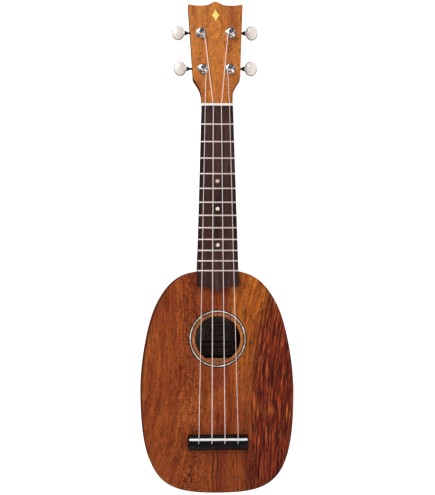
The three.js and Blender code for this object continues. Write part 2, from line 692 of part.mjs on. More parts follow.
function saddle() {
  const half = SADDLE.thickness / 2;
  const bottom = BODY_DEPTH + BRIDGE.height - BRIDGE.slotDepth + GLUE;
  const steps = 8;
  const top = Array.from({ length: steps + 1 }, (_, i) => {
    const angle = (i / steps) * Math.PI;
    return [SADDLE_Y + half * Math.cos(angle), SADDLE_TOP - half + half * Math.sin(angle)];
  });
  return bar([...top, [SADDLE_Y - half, bottom], [SADDLE_Y + half, bottom]], SADDLE.length);
}

// The slanting hole in which a string rises from its knot towards the saddle.
function stringHole(string) {
  const [knot, saddleTouch] = speakingPoints(string);
  const path = saddleTouch.clone().sub(knot);
  const hole = new THREE.CylinderGeometry(STRING_HOLE_RADIUS, STRING_HOLE_RADIUS, path.length(), 12);
  hole.rotateX(Math.atan2(path.z, path.y));
  const middle = knot.clone().addScaledVector(path, 0.5);
  return hole.translate(middle.x, middle.y, middle.z);
}

function bridge() {
  const foot = BODY_DEPTH + GLUE;
  const top = BODY_DEPTH + BRIDGE.height;
  const front = SADDLE_Y + BRIDGE.front;
  const back = SADDLE_Y - BRIDGE.back;
  const slot = SADDLE.thickness / 2 + GLUE;
  const slotFloor = top - BRIDGE.slotDepth;
  const { frontBevel, backBevel } = BRIDGE;
  const blank = bar([
    [back, foot], [front, foot], [front, foot + BRIDGE.lip], [front - 0.67 * frontBevel, top - 0.5],
    [front - frontBevel, top], [SADDLE_Y + slot, top], [SADDLE_Y + slot, slotFloor],
    [SADDLE_Y - slot, slotFloor], [SADDLE_Y - slot, top], [back + backBevel, top],
    [back + 0.38 * backBevel, top - 1], [back, foot + BRIDGE.lip],
  ], BRIDGE.length);
  const cutters = STRINGS.flatMap((string) => {
    const bore = new THREE.CylinderGeometry(KNOT_BORE.radius, KNOT_BORE.radius, KNOT_BORE.depth + 1, 12);
    const x = stringX(SADDLE_SPACING, string);
    bore.translate(x, back + (KNOT_BORE.depth - 1) / 2, BODY_DEPTH + KNOT_BORE.height);
    return [bore, stringHole(string)];
  });
  return carve(blank, cutters);
}

function addStringEnds(group) {
  add(group, 'nut', nut(), BONE);
  add(group, 'bridge', bridge(), BRIDGE_WOOD);
  add(group, 'saddle', saddle(), BONE);
}

// ---------------------------------------------------------------- headstock face

function lozenge(grow) {
  const { y, halfWidth, halfHeight } = EMBLEM;
  const waist = 0.32; // how far the sides' middles lie from the centre, as a share of the points' reach
  const path = new THREE.Path();
  path.moveTo(halfWidth + grow, y);
  path.quadraticCurveTo(halfWidth * waist, y + halfHeight * waist, 0, y + halfHeight + grow);
  path.quadraticCurveTo(-halfWidth * waist, y + halfHeight * waist, -halfWidth - grow, y);
  path.quadraticCurveTo(-halfWidth * waist, y - halfHeight * waist, 0, y - halfHeight - grow);
  path.quadraticCurveTo(halfWidth * waist, y - halfHeight * waist, halfWidth + grow, y);
  return path.getPoints(4).slice(0, -1);
}

function veneer() {
  const face = slab(headOutline(-2), TILTED_GLUE, VENEER);
  const nutSide = block([-30, 30], [-20, GLUE], [-20, 20]);
  nutSide.rotateX(HEAD_TILT);
  const holes = POSTS.map(({ x, y }) => slab(circle(POST_HOLE_RADIUS, TURNED_STEPS, x, y), 0, VENEER + 1));
  const pocket = slab(lozenge(2 * GLUE), VENEER - EMBLEM.thickness - TILTED_GLUE, VENEER + 1);
  return carve(face, [nutSide, pocket, ...holes]);
}

// ---------------------------------------------------------------- tuners

// The worm wheel: its teeth lean to follow the worm's thread, and one of them points at the worm.
function wormWheel() {
  const lean = WORM_LEAD / (TURN * WORM_RADIUS) / WHEEL_RADIUS;
  const rings = [-1, 1].map((level) => {
    const z = (level * WHEEL_THICKNESS) / 2;
    return Array.from({ length: WHEEL_TEETH }, (_, tooth) => {
      const middle = Math.PI / 2 + (tooth / WHEEL_TEETH) * TURN - lean * z;
      const root = WHEEL_RADIUS - TOOTH.root;
      const tip = WHEEL_RADIUS + TOOTH.tip;
      const corners = [
        [root, -TOOTH.rootWidth / 2 / root], [tip, -TOOTH.tipWidth / 2 / tip],
        [tip, TOOTH.tipWidth / 2 / tip], [root, TOOTH.rootWidth / 2 / root],
      ];
      return corners.map(([radius, offset]) => new THREE.Vector3(
        radius * Math.cos(middle + offset), radius * Math.sin(middle + offset), WORM_Z + z,
      ));
    }).flat();
  });
  return loft(rings, 'z');
}

function stringPost() {
  const wheelTop = WORM_Z + WHEEL_THICKNESS / 2;
  const wheelBottom = WORM_Z - WHEEL_THICKNESS / 2;
  const pivotEnd = -HEAD_THICKNESS - HOUSING.depth + 0.4;
  const shaft = turned([
    [0, pivotEnd], [POST.pivot, pivotEnd],
    [POST.pivot, wheelBottom + 0.5], [POST.radius - 0.4, wheelBottom + 0.6], [POST.radius, wheelTop - 0.3],
    [POST.radius, POST.waistStart - 0.4], [POST.waist, POST.waistStart], [POST.waist, POST.waistEnd],
    [POST.radius, POST.waistEnd + 0.4], [POST.radius, POST.top - 0.4], [POST.radius - 0.5, POST.top],
    [0, POST.top],
  ]);
  const hole = new THREE.CylinderGeometry(POST.hole, POST.hole, 3 * POST.radius, 12);
  hole.translate(0, 0, COIL.start + COIL.holeRise);
  return carve(fuse([shaft, wormWheel()]), [hole]);
}

function bushing() {
  const bottom = VENEER + TILTED_GLUE;
  const nutTop = bottom + BUSHING.washer + BUSHING.hex;
  const washer = turned([
    [0, bottom], [BUSHING.washerRadius, bottom], [BUSHING.washerRadius, bottom + BUSHING.washer],
    [0, bottom + BUSHING.washer],
  ]);
  const hex = turned([
    [0, bottom + 0.1], [BUSHING.hexRadius, bottom + 0.1], [BUSHING.hexRadius, nutTop - 0.6],
    [BUSHING.hexRadius - 0.7, nutTop], [0, nutTop],
  ], 6);
  const sleeve = turned([
    [0, VENEER - BUSHING.sleeve], [BUSHING.sleeveRadius, VENEER - BUSHING.sleeve],
    [BUSHING.sleeveRadius, nutTop - 1], [0, nutTop - 1],
  ]);
  const bore = slab(
    circle(POST.radius + POST_CLEARANCE, TURNED_STEPS), VENEER - BUSHING.sleeve - 1, nutTop + 1,
  );
  return carve(fuse([washer, hex, sleeve]), [bore]);
}

// A die-cast case, open towards the headstock, with a boss for the shaft on its outer side.
function housing(side) {
  const top = -HEAD_THICKNESS - TILTED_GLUE;
  const bottom = top - HOUSING.depth;
  const { halfWidth, back, front, wall, corner } = HOUSING;
  const outline = new THREE.Path();
  outline.moveTo(-halfWidth + corner, back);
  outline.absarc(halfWidth - corner, back + corner, corner, -Math.PI / 2, 0);
  outline.absarc(halfWidth - corner, front - corner, corner, 0, Math.PI / 2);
  outline.absarc(-halfWidth + corner, front - corner, corner, Math.PI / 2, Math.PI);
  outline.absarc(-halfWidth + corner, back + corner, corner, Math.PI, Math.PI * 1.5);
  const steps = outline.getPoints(2).slice(0, -1);
  const shell = slab(steps, bottom, top);
  const along = (geometry, x) => geometry.rotateZ(Math.PI / 2).translate(side * x, GEAR_CENTRES, WORM_Z);
  const boss = along(new THREE.CylinderGeometry(
    HOUSING.bossRadius, HOUSING.bossRadius, HOUSING.boss + 1, TURNED_STEPS,
  ), halfWidth + HOUSING.boss / 2 - 0.5);
  const cavity = block(
    [wall - halfWidth, halfWidth - wall], [back + wall, front - wall], [bottom + HOUSING.floor, top + 1],
  );
  const bore = along(new THREE.CylinderGeometry(
    SHAFT.radius + POST_CLEARANCE, SHAFT.radius + POST_CLEARANCE, 2 * SHAFT.journal + 6, TURNED_STEPS,
  ), 2.9);
  const pivotHole = slab(
    circle(POST.pivot + POST_CLEARANCE, TURNED_STEPS), bottom + 0.4, bottom + 2 * HOUSING.floor,
  );
  return carve(fuse([shell, boss]), [cavity, bore, pivotHole]);
}

function wormShaft() {
  const worm = (WORM_TURNS * WORM_LEAD) / 2;
  const root = WORM_RADIUS - TOOTH.root;
  const core = turned([
    [0, -SHAFT.journal], [SHAFT.radius - 0.05, -SHAFT.journal], [SHAFT.radius - 0.05, -worm], [root, -worm],
    [root, worm], [SHAFT.radius, worm + 0.1], [SHAFT.radius, COLLAR.start], [COLLAR.radius, COLLAR.end - 0.3],
    [COLLAR.radius, COLLAR.end], [SHAFT.tangRadius, COLLAR.end], [SHAFT.tangRadius, SHAFT.tangEnd],
    [0, SHAFT.tangEnd],
  ], 10).rotateY(Math.PI / 2);
  const tip = WORM_RADIUS + TOOTH.tip;
  const section = new THREE.Shape([
    new THREE.Vector2(root - 0.35, -TOOTH.rootWidth / 2 - 0.1),
    new THREE.Vector2(tip, -TOOTH.tipWidth / 2),
    new THREE.Vector2(tip, TOOTH.tipWidth / 2),
    new THREE.Vector2(root - 0.35, TOOTH.rootWidth / 2 + 0.1),
  ]);
  const thread = new THREE.ExtrudeGeometry(section, {
    steps: Math.round(WORM_TURNS * 10),
    extrudePath: new ThreadAxis(WORM_LEAD, WORM_TURNS),
  });
  return fuse([core, thread]);
}

function button() {
  const body = new THREE.SphereGeometry(1, 14, 8);
  const position = body.attributes.position;
  for (let i = 0; i < position.count; i++) {
    const [x, y, z] = [position.getX(i), position.getY(i), position.getZ(i)];
    position.setXYZ(
      i,
      BUTTON.centre + BUTTON.halfLength * x,
      BUTTON.halfWidth * y,
      BUTTON.halfThickness * Math.sign(z) * Math.abs(z) ** BUTTON.flatness, // flatter than an ellipsoid
    );
  }
  const along = (radius, x0, x1) => new THREE.CylinderGeometry(radius, radius, x1 - x0, 12)
    .rotateZ(Math.PI / 2).translate((x0 + x1) / 2, 0, 0);
  const boss = along(COLLAR.radius - 0.1, COLLAR.end + TILTED_GLUE, BUTTON.centre);
  const socket = along(SHAFT.tangRadius + POST_CLEARANCE, COLLAR.end - 1, SHAFT.tangEnd + 0.2);
  return carve(fuse([body, boss]), [socket]);
}

function addTuner(head, { letter, side, x, y }) {
  const tuner = new THREE.Group();
  tuner.position.set(x, y, 0);
  head.add(tuner);
  add(tuner, `tuner_housing_${letter}`, housing(side), CHROME);
  add(tuner, `post_bushing_${letter}`, bushing(), CHROME);
  add(tuner, `string_post_${letter}`, stringPost(), CHROME);
  const knob = new THREE.Group();
  knob.position.set(0, GEAR_CENTRES, WORM_Z);
  knob.rotation.y = side < 0 ? Math.PI : 0;
  tuner.add(knob);
  add(knob, `worm_shaft_${letter}`, wormShaft(), DARK_STEEL);
  add(knob, `tuner_button_${letter}`, button(), BUTTON_PLASTIC);
}

// ---------------------------------------------------------------- assembly

const ukulele = new THREE.Group();
ukulele.position.y = -TOTAL_LENGTH / 2;

const headGroup = new THREE.Group();
headGroup.position.set(0, HEAD_Y, BODY_DEPTH);
headGroup.rotation.x = -HEAD_TILT;
headGroup.updateMatrix();
ukulele.add(headGroup);

addBody(ukulele);
addNeck(ukulele);
addStringEnds(ukulele);
addStrings(ukulele);
add(headGroup, 'headstock_veneer', veneer(), KOA);
add(headGroup, 'headstock_emblem', slab(lozenge(0), VENEER - EMBLEM.thickness, VENEER), GOLD);
for (const post of POSTS) addTuner(headGroup, post);

export default ukulele;
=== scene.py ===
"""The looks of a soprano ukulele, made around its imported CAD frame.

Shapes are drawn in millimetres. X points to the treble side and Z out of the soundboard. In the body's
space Y counts from the tail. In the headstock's space Y counts from the nut along the tilted face, and
Z from the wood below the face veneer. Each piece is put into the frame's metres when its mesh is made.
"""
import math

import bpy
from mathutils import Matrix, Vector


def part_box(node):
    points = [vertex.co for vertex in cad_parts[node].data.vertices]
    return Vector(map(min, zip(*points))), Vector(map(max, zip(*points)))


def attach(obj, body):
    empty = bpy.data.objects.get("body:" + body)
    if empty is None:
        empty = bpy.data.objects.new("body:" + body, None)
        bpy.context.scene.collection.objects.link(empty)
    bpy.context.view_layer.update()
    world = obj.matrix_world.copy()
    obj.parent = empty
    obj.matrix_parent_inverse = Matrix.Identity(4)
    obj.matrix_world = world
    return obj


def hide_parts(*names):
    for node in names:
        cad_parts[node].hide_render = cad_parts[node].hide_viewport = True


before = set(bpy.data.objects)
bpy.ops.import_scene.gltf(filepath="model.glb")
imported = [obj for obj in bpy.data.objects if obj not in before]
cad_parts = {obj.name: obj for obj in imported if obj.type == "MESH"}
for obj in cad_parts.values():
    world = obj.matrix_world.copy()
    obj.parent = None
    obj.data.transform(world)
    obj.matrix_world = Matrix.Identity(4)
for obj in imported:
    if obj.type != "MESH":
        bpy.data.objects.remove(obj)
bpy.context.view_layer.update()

# ---------------------------------------------------------------- driving dimensions, in millimetres

TURN = 2 * math.pi
GLUE = 0.05

BODY_LENGTH = 234
BODY_HALF_WIDTH = 80.2
WIDEST_Y = 106.4
SHOULDER = (63.4, 197.6)
TAIL_HANDLES = ((58, 0), (BODY_HALF_WIDTH, 10.5))
SIDE_HANDLES = ((BODY_HALF_WIDTH, 137.9), (72.2, 179.6))
SHOULDER_HANDLES = ((44.4, 236.7), (22.3, BODY_LENGTH))
BODY_DEPTH = 58
TOP_THICKNESS = 2
BACK_THICKNESS = 2.2
RIM_THICKNESS = 2
EDGE_ROUNDING = 1.2
HOLE_EDGE_ROUNDING = 0.7
OUTLINE_STEPS = 44

SOUNDHOLE_Y = 162.2
SOUNDHOLE_RADIUS = 23.85
ROSETTE_INNER = 27.3
PEARL_INNER = 28.4
PEARL_OUTER = 29.6
ROSETTE_OUTER = 30.8
ROSETTE_DEPTH = 1
PEARL_SEGMENTS = 24
PEARL_GAP = 0.12
LABEL = {"half_width": 20.5, "y0": 143.6, "y1": 189, "thickness": 0.15}

SCALE = 348
COMPENSATION = 3.6
FRET_COUNT = 12
NUT_HALF_WIDTH = 16.65
TWELFTH_HALF_WIDTH = 21.85
BOARD_THICKNESS = 4.5
BOARD_END = 216.9
BOARD_CORNER = 3
CROWN_HALF_WIDTH = 11
CROWN_HEIGHT = 4.2
FRET_CROWN_WIDTH = 1.5
FRET_CROWN_HEIGHT = 0.9
FRET_TANG_WIDTH = 0.6
FRET_TANG_DEPTH = 1.5
FRET_INSET = 0.3
DOT_RADIUS = 2
DOT_THICKNESS = 0.9
DOT_AFTER_FRETS = (4, 6, 9)

NECK_DEPTH_AT_NUT = 13.5
NECK_DEPTH_AT_HEEL = 15
NECK_ROUNDNESS = 2.2
HEEL_END = 285
HEEL_RUN = 36
HEEL_DEPTH = 66

NUT_THICKNESS = 2.6
NUT_HEIGHT = 6.4
STRING_ABOVE_FIRST_FRET = 0.35
ACTION_AT_TWELFTH = 2.3
SADDLE_THICKNESS = 2.5
SADDLE_LENGTH = 61.2
BRIDGE = {"length": 62.9, "front": 5, "back": 11.3, "height": 6.4, "lip": 2.8, "slot_depth": 3.4}
KNOT_BORE = {"radius": 1.6, "height": 2.4, "depth": 4.9, "knot": 8}
STRING_HOLE_RADIUS = 0.56
NUT_SPACING = 8.55
SADDLE_SPACING = 13.8

HEAD_TILT = math.radians(12.5)
HEAD_LENGTH = 113.3
HEAD_THICKNESS = 12
VENEER = 1.8
HEAD_TOP_HALF_WIDTH = 29.25
HEAD_HORN = 1.2
HEAD_SHOULDER_HALF_WIDTH = 25.2
EMBLEM = {"y": 97.5, "half_width": 4.2, "half_height": 7, "thickness": 0.7}

POST = {"radius": 3, "top": 11.8, "hole": 0.95, "pivot": 1.5}
WAIST = {"radius": 2.6, "start": 5.9, "end": 10}
BUSHING = {"hex_radius": 5.3, "hex": 2.6, "sleeve_radius": 4.1, "sleeve": 6}
WASHER = {"radius": 5.8, "thickness": 0.7}
POST_HOLE_RADIUS = 4.3
GEAR_CENTRES = 6
WHEEL_TEETH = 14
WHEEL_RADIUS = 4
WHEEL_THICKNESS = 3.2
WORM_RADIUS = 2
WORM_TURNS = 3.6
WORM_Z = -17
SHAFT_PLAY = 0.1
TOOTH = {"tip": 0.55, "root": 0.7, "tip_width": 0.34, "root_width": 1.15}
HOUSING = {"wall": 1.45, "back": -6.4, "front": 10.3, "half_width": 6.4, "depth": 9.2, "boss": 2.2}
SHAFT = {"radius": 1.25, "journal": 5.9, "tang_radius": 1.4, "tang_end": 24.3}
COLLAR = {"start": 14.6, "end": 16.5, "radius": 2.7}
SCREW = {"radius": 1.3, "height": 0.5, "pocket_radius": 1.5, "pocket_depth": 0.9, "sunk": 0.75}
CASE_GROOVE = {"inner": 3.9, "outer": 4.3, "depth": 0.15}
BUTTON = {"centre": 23.5, "half_length": 6.9, "half_width": 8.3, "half_thickness": 2.9}

COIL_PITCH = 0.95
COIL_EVEN_TURNS = 1.65
COIL_HOLE_RISE = 2.65
COIL_BEND = 0.9
COIL_GAP = 0.12
COIL_TAIL = 1.6
COIL_OVERLAP = math.radians(14)
KNOT_SCALE = 0.3
NUT_SLOT_ROOM = 0.06

STRINGS = {
    "g": {"side": -1, "outer": True, "diameter": 0.62, "post": (14.35, 37.7)},
    "c": {"side": -1, "outer": False, "diameter": 0.84, "post": (15.8, 77.7)},
    "e": {"side": 1, "outer": False, "diameter": 0.72, "post": (15.8, 77.7)},
    "a": {"side": 1, "outer": True, "diameter": 0.56, "post": (14.35, 37.7)},
}

# ---------------------------------------------------------------- derived places

NUT_Y = BODY_LENGTH + SCALE / 2
HEAD_Y = NUT_Y + NUT_THICKNESS
SADDLE_Y = NUT_Y - SCALE - COMPENSATION
BOARD_TOP = BODY_DEPTH + BOARD_THICKNESS
FRET_TOP = BOARD_TOP + FRET_CROWN_HEIGHT
STRING_AT_NUT = FRET_TOP + STRING_ABOVE_FIRST_FRET
STRING_RISE = (ACTION_AT_TWELFTH - STRING_ABOVE_FIRST_FRET) / (SCALE / 2)
SADDLE_TOP = STRING_AT_NUT + STRING_RISE * (NUT_Y - SADDLE_Y)
BUSHING_BOTTOM = VENEER + 0.1
BUSHING_TOP = BUSHING_BOTTOM + WASHER["thickness"] + BUSHING["hex"]
COIL_START = BUSHING_TOP + 0.75
GEAR_LEAD = TURN * WHEEL_RADIUS / WHEEL_TEETH
HOUSING_TOP = -HEAD_THICKNESS - 0.1
BUTTON_END = BUTTON["centre"] + BUTTON["half_length"]
RIM_BOTTOM = BACK_THICKNESS + GLUE
RIM_TOP = BODY_DEPTH - TOP_THICKNESS - GLUE

TAIL_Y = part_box("soundboard")[0].y
BODY_SPACE = Matrix.Translation((0, TAIL_Y, 0)) @ Matrix.Scale(0.001, 4)
TO_X = Matrix.Rotation(math.pi / 2, 4, "Y")
HEAD_IN_BODY = Matrix.Translation((0, HEAD_Y, BODY_DEPTH)) @ Matrix.Rotation(-HEAD_TILT, 4, "X")
HEAD_SPACE = BODY_SPACE @ HEAD_IN_BODY
HEAD_NORMAL = (HEAD_SPACE.to_3x3() @ Vector((0, 0, 1))).normalized()
HEAD_FACE_HEIGHT = (HEAD_SPACE @ Vector((0, 0, VENEER))).dot(HEAD_NORMAL) * 1000


def fret_y(number):
    return NUT_Y - SCALE * (1 - 2 ** (-number / 12))


def board_half_width(y):
    share = (NUT_Y - y) / (NUT_Y - BODY_LENGTH)
    return NUT_HALF_WIDTH + share * (TWELFTH_HALF_WIDTH - NUT_HALF_WIDTH)


def string_x(string, spacing):
    return string["side"] * (1.5 if string["outer"] else 0.5) * spacing


def smoothstep(value, low, high):
    t = min(max((value - low) / (high - low), 0), 1)
    return t * t * (3 - 2 * t)


# ---------------------------------------------------------------- materials


def srgb(*levels):
    """A colour from its 0 to 255 display levels."""
    shares = [level / 255 for level in levels]
    return tuple(v / 12.92 if v <= 0.04045 else ((v + 0.055) / 1.055) ** 2.4 for v in shares) + (1,)


class Paint:
    """A node material under construction. Places are in millimetres in the part's frame."""

    def __init__(self, name, **settings):
        self.material = bpy.data.materials.new(name)
        self.material.use_nodes = True
        self.tree = self.material.node_tree
        self.shader = self.tree.nodes["Principled BSDF"]
        for key, value in settings.items():
            socket = key.replace("_", " ").title().replace("Ior", "IOR")
            self.shader.inputs[socket].default_value = value
        self.place = self.scaled(self.node("TexCoord", {}, output="Object"), 1000)

    def put(self, socket, value):
        if isinstance(value, bpy.types.NodeSocket):
            self.tree.links.new(value, socket)
        else:
            socket.default_value = value

    def node(self, kind, settings, *values, output=0, **named):
        """A node with some settings, its sockets fed in order or by name; returns one output."""
        made = self.tree.nodes.new("ShaderNode" + kind)
        for key, value in settings.items():
            setattr(made, key, value)
        for socket, value in zip(made.inputs, values):
            self.put(socket, value)
        for name, value in named.items():
            self.put(made.inputs[name], value)
        return made.outputs[output]

    def vector(self, operation, *values, output="Vector", **named):
        return self.node("VectorMath", {"operation": operation}, *values, output=output, **named)

    def scaled(self, vector, amount):
        """A place or a colour times a number; for a colour the number may be above 1."""
        return self.vector("SCALE", vector, Scale=amount)

    def math(self, operation, a, b=0.0, c=0.0):
        return self.node("Math", {"operation": operation}, a, b, c)

    def plus(self, a, b):
        return self.math("ADD", a, b)

    def minus(self, a, b):
        return self.math("SUBTRACT", a, b)

    def times(self, a, b):
        return self.math("MULTIPLY", a, b)

    def linear(self, value, slope, start):
        return self.math("MULTIPLY_ADD", value, slope, start)

    def swayed(self, field, amount, middle):
        """middle, raised or lowered by up to half of amount where a field from 0 to 1 leaves 0.5."""
        return self.linear(self.minus(field, 0.5), amount, middle)

    def absolute(self, value):
        return self.math("ABSOLUTE", value)

    def axis(self, letter):
        return self.node("SeparateXYZ", {}, self.place, output="XYZ".index(letter))

    def along_body(self, start=0.0):
        """Y in the body's space, counted from start."""
        return self.minus(self.axis("Y"), TAIL_Y * 1000 + start)

    def over_head(self, start):
        """The distance along the headstock face's normal, counted from start."""
        height = self.vector("DOT_PRODUCT", self.place, HEAD_NORMAL, output="Value")
        return self.minus(height, start)

    def joined(self, x, y, z):
        return self.node("CombineXYZ", {}, x, y, z)

    def fade(self, value, low, high, to_low=0.0, to_high=1.0):
        """From to_low to to_high as value goes smoothly from low to high."""
        settings = {"interpolation_type": "SMOOTHSTEP"}
        return self.node("MapRange", settings, value, low, high, to_low, to_high)

    def fade_out(self, value, low, high):
        return self.fade(value, low, high, 1.0, 0.0)

    def noise(self, where, size, detail=2.0, roughness=0.5, distortion=0.0, seed=0.0):
        """Noise whose lumps are about `size` millimetres."""
        place = self.vector("DIVIDE", where, size)
        if seed:
            place = self.vector("ADD", place, (seed, seed * 1.7, seed * 2.3))
        return self.node("TexNoise", {}, Vector=place, Scale=1.0, Detail=detail, Roughness=roughness,
                         Distortion=distortion)

    def ramp(self, value, *stops):
        """Colours along value; each stop is (position, display levels)."""
        made = self.tree.nodes.new("ShaderNodeValToRGB")
        made.color_ramp.interpolation = "EASE"
        elements = made.color_ramp.elements
        while len(elements) < len(stops):
            elements.new(0.5)
        for element, (position, levels) in zip(elements, stops):
            element.position = position
            element.color = srgb(*levels)
        self.put(made.inputs[0], value)
        return made.outputs[0]

    def mix(self, share, a, b):
        made = self.tree.nodes.new("ShaderNodeMix")
        made.data_type = "RGBA"
        self.put(made.inputs[0], share)
        self.put(made.inputs[6], a)
        self.put(made.inputs[7], b)
        return made.outputs[2]

    def bump(self, height, strength, distance=0.0002):
        normal = self.node("Bump", {}, Strength=strength, Distance=distance, Height=height)
        self.put(self.shader.inputs["Normal"], normal)

    def done(self, colour, roughness=None):
        self.put(self.shader.inputs["Base Color"], colour)
        if roughness is not None:
            self.put(self.shader.inputs["Roughness"], roughness)
        return self.material


def wood_pores(paint, grain, size, share):
    """Short dark dashes along the grain: 1 in a pore, 0 beside it."""
    field = paint.noise(grain, size, detail=1, seed=4.1)
    return paint.fade(field, 1 - share, 1 - share + 0.06)


def soundboard_koa():
    """Koa with a red centre seam, a golden right shoulder and a dark, strongly streaked right side."""
    paint = Paint("koa_top", specular_ior_level=0.2)
    x = paint.axis("X")
    y = paint.along_body()
    wander = paint.minus(paint.noise(paint.place, (30, 70, 70), seed=1.3), 0.5)
    # the grain curves to the left at the lower left and away to the right at the upper right
    below = paint.math("MAXIMUM", paint.minus(150.0, y), 0.0)
    left_bend = paint.times(paint.math("POWER", below, 2.0), paint.fade(x, -70, 0, 0.0012, 0.0))
    above = paint.math("MAXIMUM", paint.minus(y, 90.0), 0.0)
    above = paint.linear(paint.math("POWER", above, 2.0), 0.016, y)
    right_bend = paint.times(above, paint.fade(x, 0, 66, 0.0, 0.045))
    straightened = paint.minus(paint.plus(x, left_bend), right_bend)
    across = paint.linear(wander, 7.0, straightened)
    grain = paint.joined(across, y, 0.0)

    broad = paint.noise(grain, (6, 150, 150), detail=3, roughness=0.55)
    streaks = paint.noise(grain, (1.5, 34, 34), detail=4, roughness=0.68, seed=2.2)
    fine = paint.noise(grain, (0.8, 8, 8), detail=3, roughness=0.7, seed=3.7)
    mottle = paint.noise(grain, (1.2, 2.2, 2.2), detail=3, roughness=0.75, seed=5.9)
    pores = wood_pores(paint, grain, (0.45, 6, 6), 0.4)

    left = paint.ramp(broad, (0.32, (126, 52, 22)), (0.5, (144, 66, 27)), (0.68, (158, 80, 33)))
    band = paint.ramp(broad, (0.32, (122, 54, 24)), (0.5, (136, 62, 26)), (0.68, (148, 74, 32)))
    golden = paint.ramp(broad, (0.32, (158, 80, 26)), (0.5, (178, 96, 32)), (0.7, (192, 114, 44)))
    red = paint.ramp(broad, (0.32, (112, 40, 18)), (0.6, (142, 62, 30)))
    dark = paint.ramp(
        streaks, (0.36, (52, 8, 4)), (0.45, (86, 24, 10)), (0.54, (116, 40, 18)),
        (0.64, (154, 74, 34)),
    )
    seam_x = paint.linear(wander, 4.0, x)
    colour = paint.mix(paint.fade(seam_x, -42, -32), left, band)
    colour = paint.mix(paint.fade(seam_x, -24, -14, 0.0, 0.6), colour, left)
    centre = paint.times(paint.fade(seam_x, -7, -3), paint.fade_out(seam_x, 7, 13))
    colour = paint.mix(paint.times(centre, 0.7), colour, red)
    gold_share = paint.times(paint.fade(seam_x, 8, 22), paint.fade(y, 60, 215, 0.12, 1.0))
    colour = paint.mix(gold_share, colour, golden)
    dark_edge = paint.linear(wander, 16.0, paint.fade(y, 60, 215, 30, 34))
    past_edge = paint.minus(straightened, dark_edge)
    dark_share = paint.fade(past_edge, -9, 9)
    colour = paint.mix(dark_share, colour, dark)

    patches = paint.noise(paint.place, (26, 38, 38), seed=8.2)
    colour = paint.mix(paint.fade(patches, 0.5, 0.7, 0.0, 0.35), colour, srgb(112, 36, 18))
    colour = paint.mix(paint.fade(patches, 0.3, 0.46, 0.3, 0.0), colour, srgb(176, 98, 42))

    below_bridge = paint.fade(y, 44, 66, 1.0, 0.2)
    dark_lines = ((-5.5, 0.8), (-1.0, 0.6), (30.0, 1.0))
    for line_x, half in dark_lines:
        near = paint.absolute(paint.minus(seam_x, line_x))
        line = paint.times(paint.fade_out(near, half * 0.4, half * 2), below_bridge)
        colour = paint.mix(paint.times(line, 0.6), colour, srgb(80, 26, 14))

    beside_hole = paint.joined(x, paint.minus(y, SOUNDHOLE_Y), 0.0)
    from_hole = paint.vector("LENGTH", beside_hole, output="Value")
    ring_share = paint.fade(from_hole, ROSETTE_INNER - 0.1, ROSETTE_INNER + 0.1, 0.5, 0.0)
    colour = paint.mix(ring_share, colour, srgb(176, 112, 66))

    speckled = paint.times(paint.fade(x, -44, -34), paint.fade_out(x, -26, -14))
    tone = paint.swayed(streaks, paint.linear(dark_share, 1.6, 2.2), 1.06)
    tone = paint.swayed(fine, paint.linear(dark_share, 1.6, 2.2), tone)
    tone = paint.swayed(mottle, paint.linear(speckled, 3.2, 2.0), tone)
    tone = paint.linear(pores, -0.35, tone)
    # Painted shade: the top's rounded edge is darkened.
    painted_edge_shade = paint.fade(paint.axis("Z"), BODY_DEPTH - 0.45, BODY_DEPTH - 0.01, 0.2, 1.0)
    tone = paint.times(tone, paint.fade(y, 20, 110, 0.88, 1.0))
    colour = paint.scaled(colour, paint.times(tone, painted_edge_shade))
    paint.bump(paint.minus(fine, paint.times(pores, 0.8)), 0.12)
    worn_edge = paint.fade(paint.axis("Z"), BODY_DEPTH - 0.6, BODY_DEPTH - 0.1, 0.55, 0.0)
    return paint.done(colour, paint.plus(worn_edge, paint.linear(mottle, 0.12, 0.36)))


def bent_round_body(paint):
    """Place in a strip bent round the body: its thickness, its length and its height."""
    x = paint.axis("X")
    y = paint.along_body(WIDEST_Y)
    angle = paint.math("ARCTAN2", x, y)
    return paint.joined(0.0, paint.times(angle, 95.0), paint.axis("Z"))


def board_edge_painted_shade(paint):
    """Painted shade on the fingerboard: darker towards its edges."""
    from_nut = paint.minus(TAIL_Y * 1000 + NUT_Y, paint.axis("Y"))
    widening = (TWELFTH_HALF_WIDTH - NUT_HALF_WIDTH) / (NUT_Y - BODY_LENGTH)
    half_width = paint.linear(from_nut, widening, NUT_HALF_WIDTH)
    from_edge = paint.minus(half_width, paint.absolute(paint.axis("X")))
    return paint.fade(from_edge, 1.0, 4.0, 0.4, 1.0)


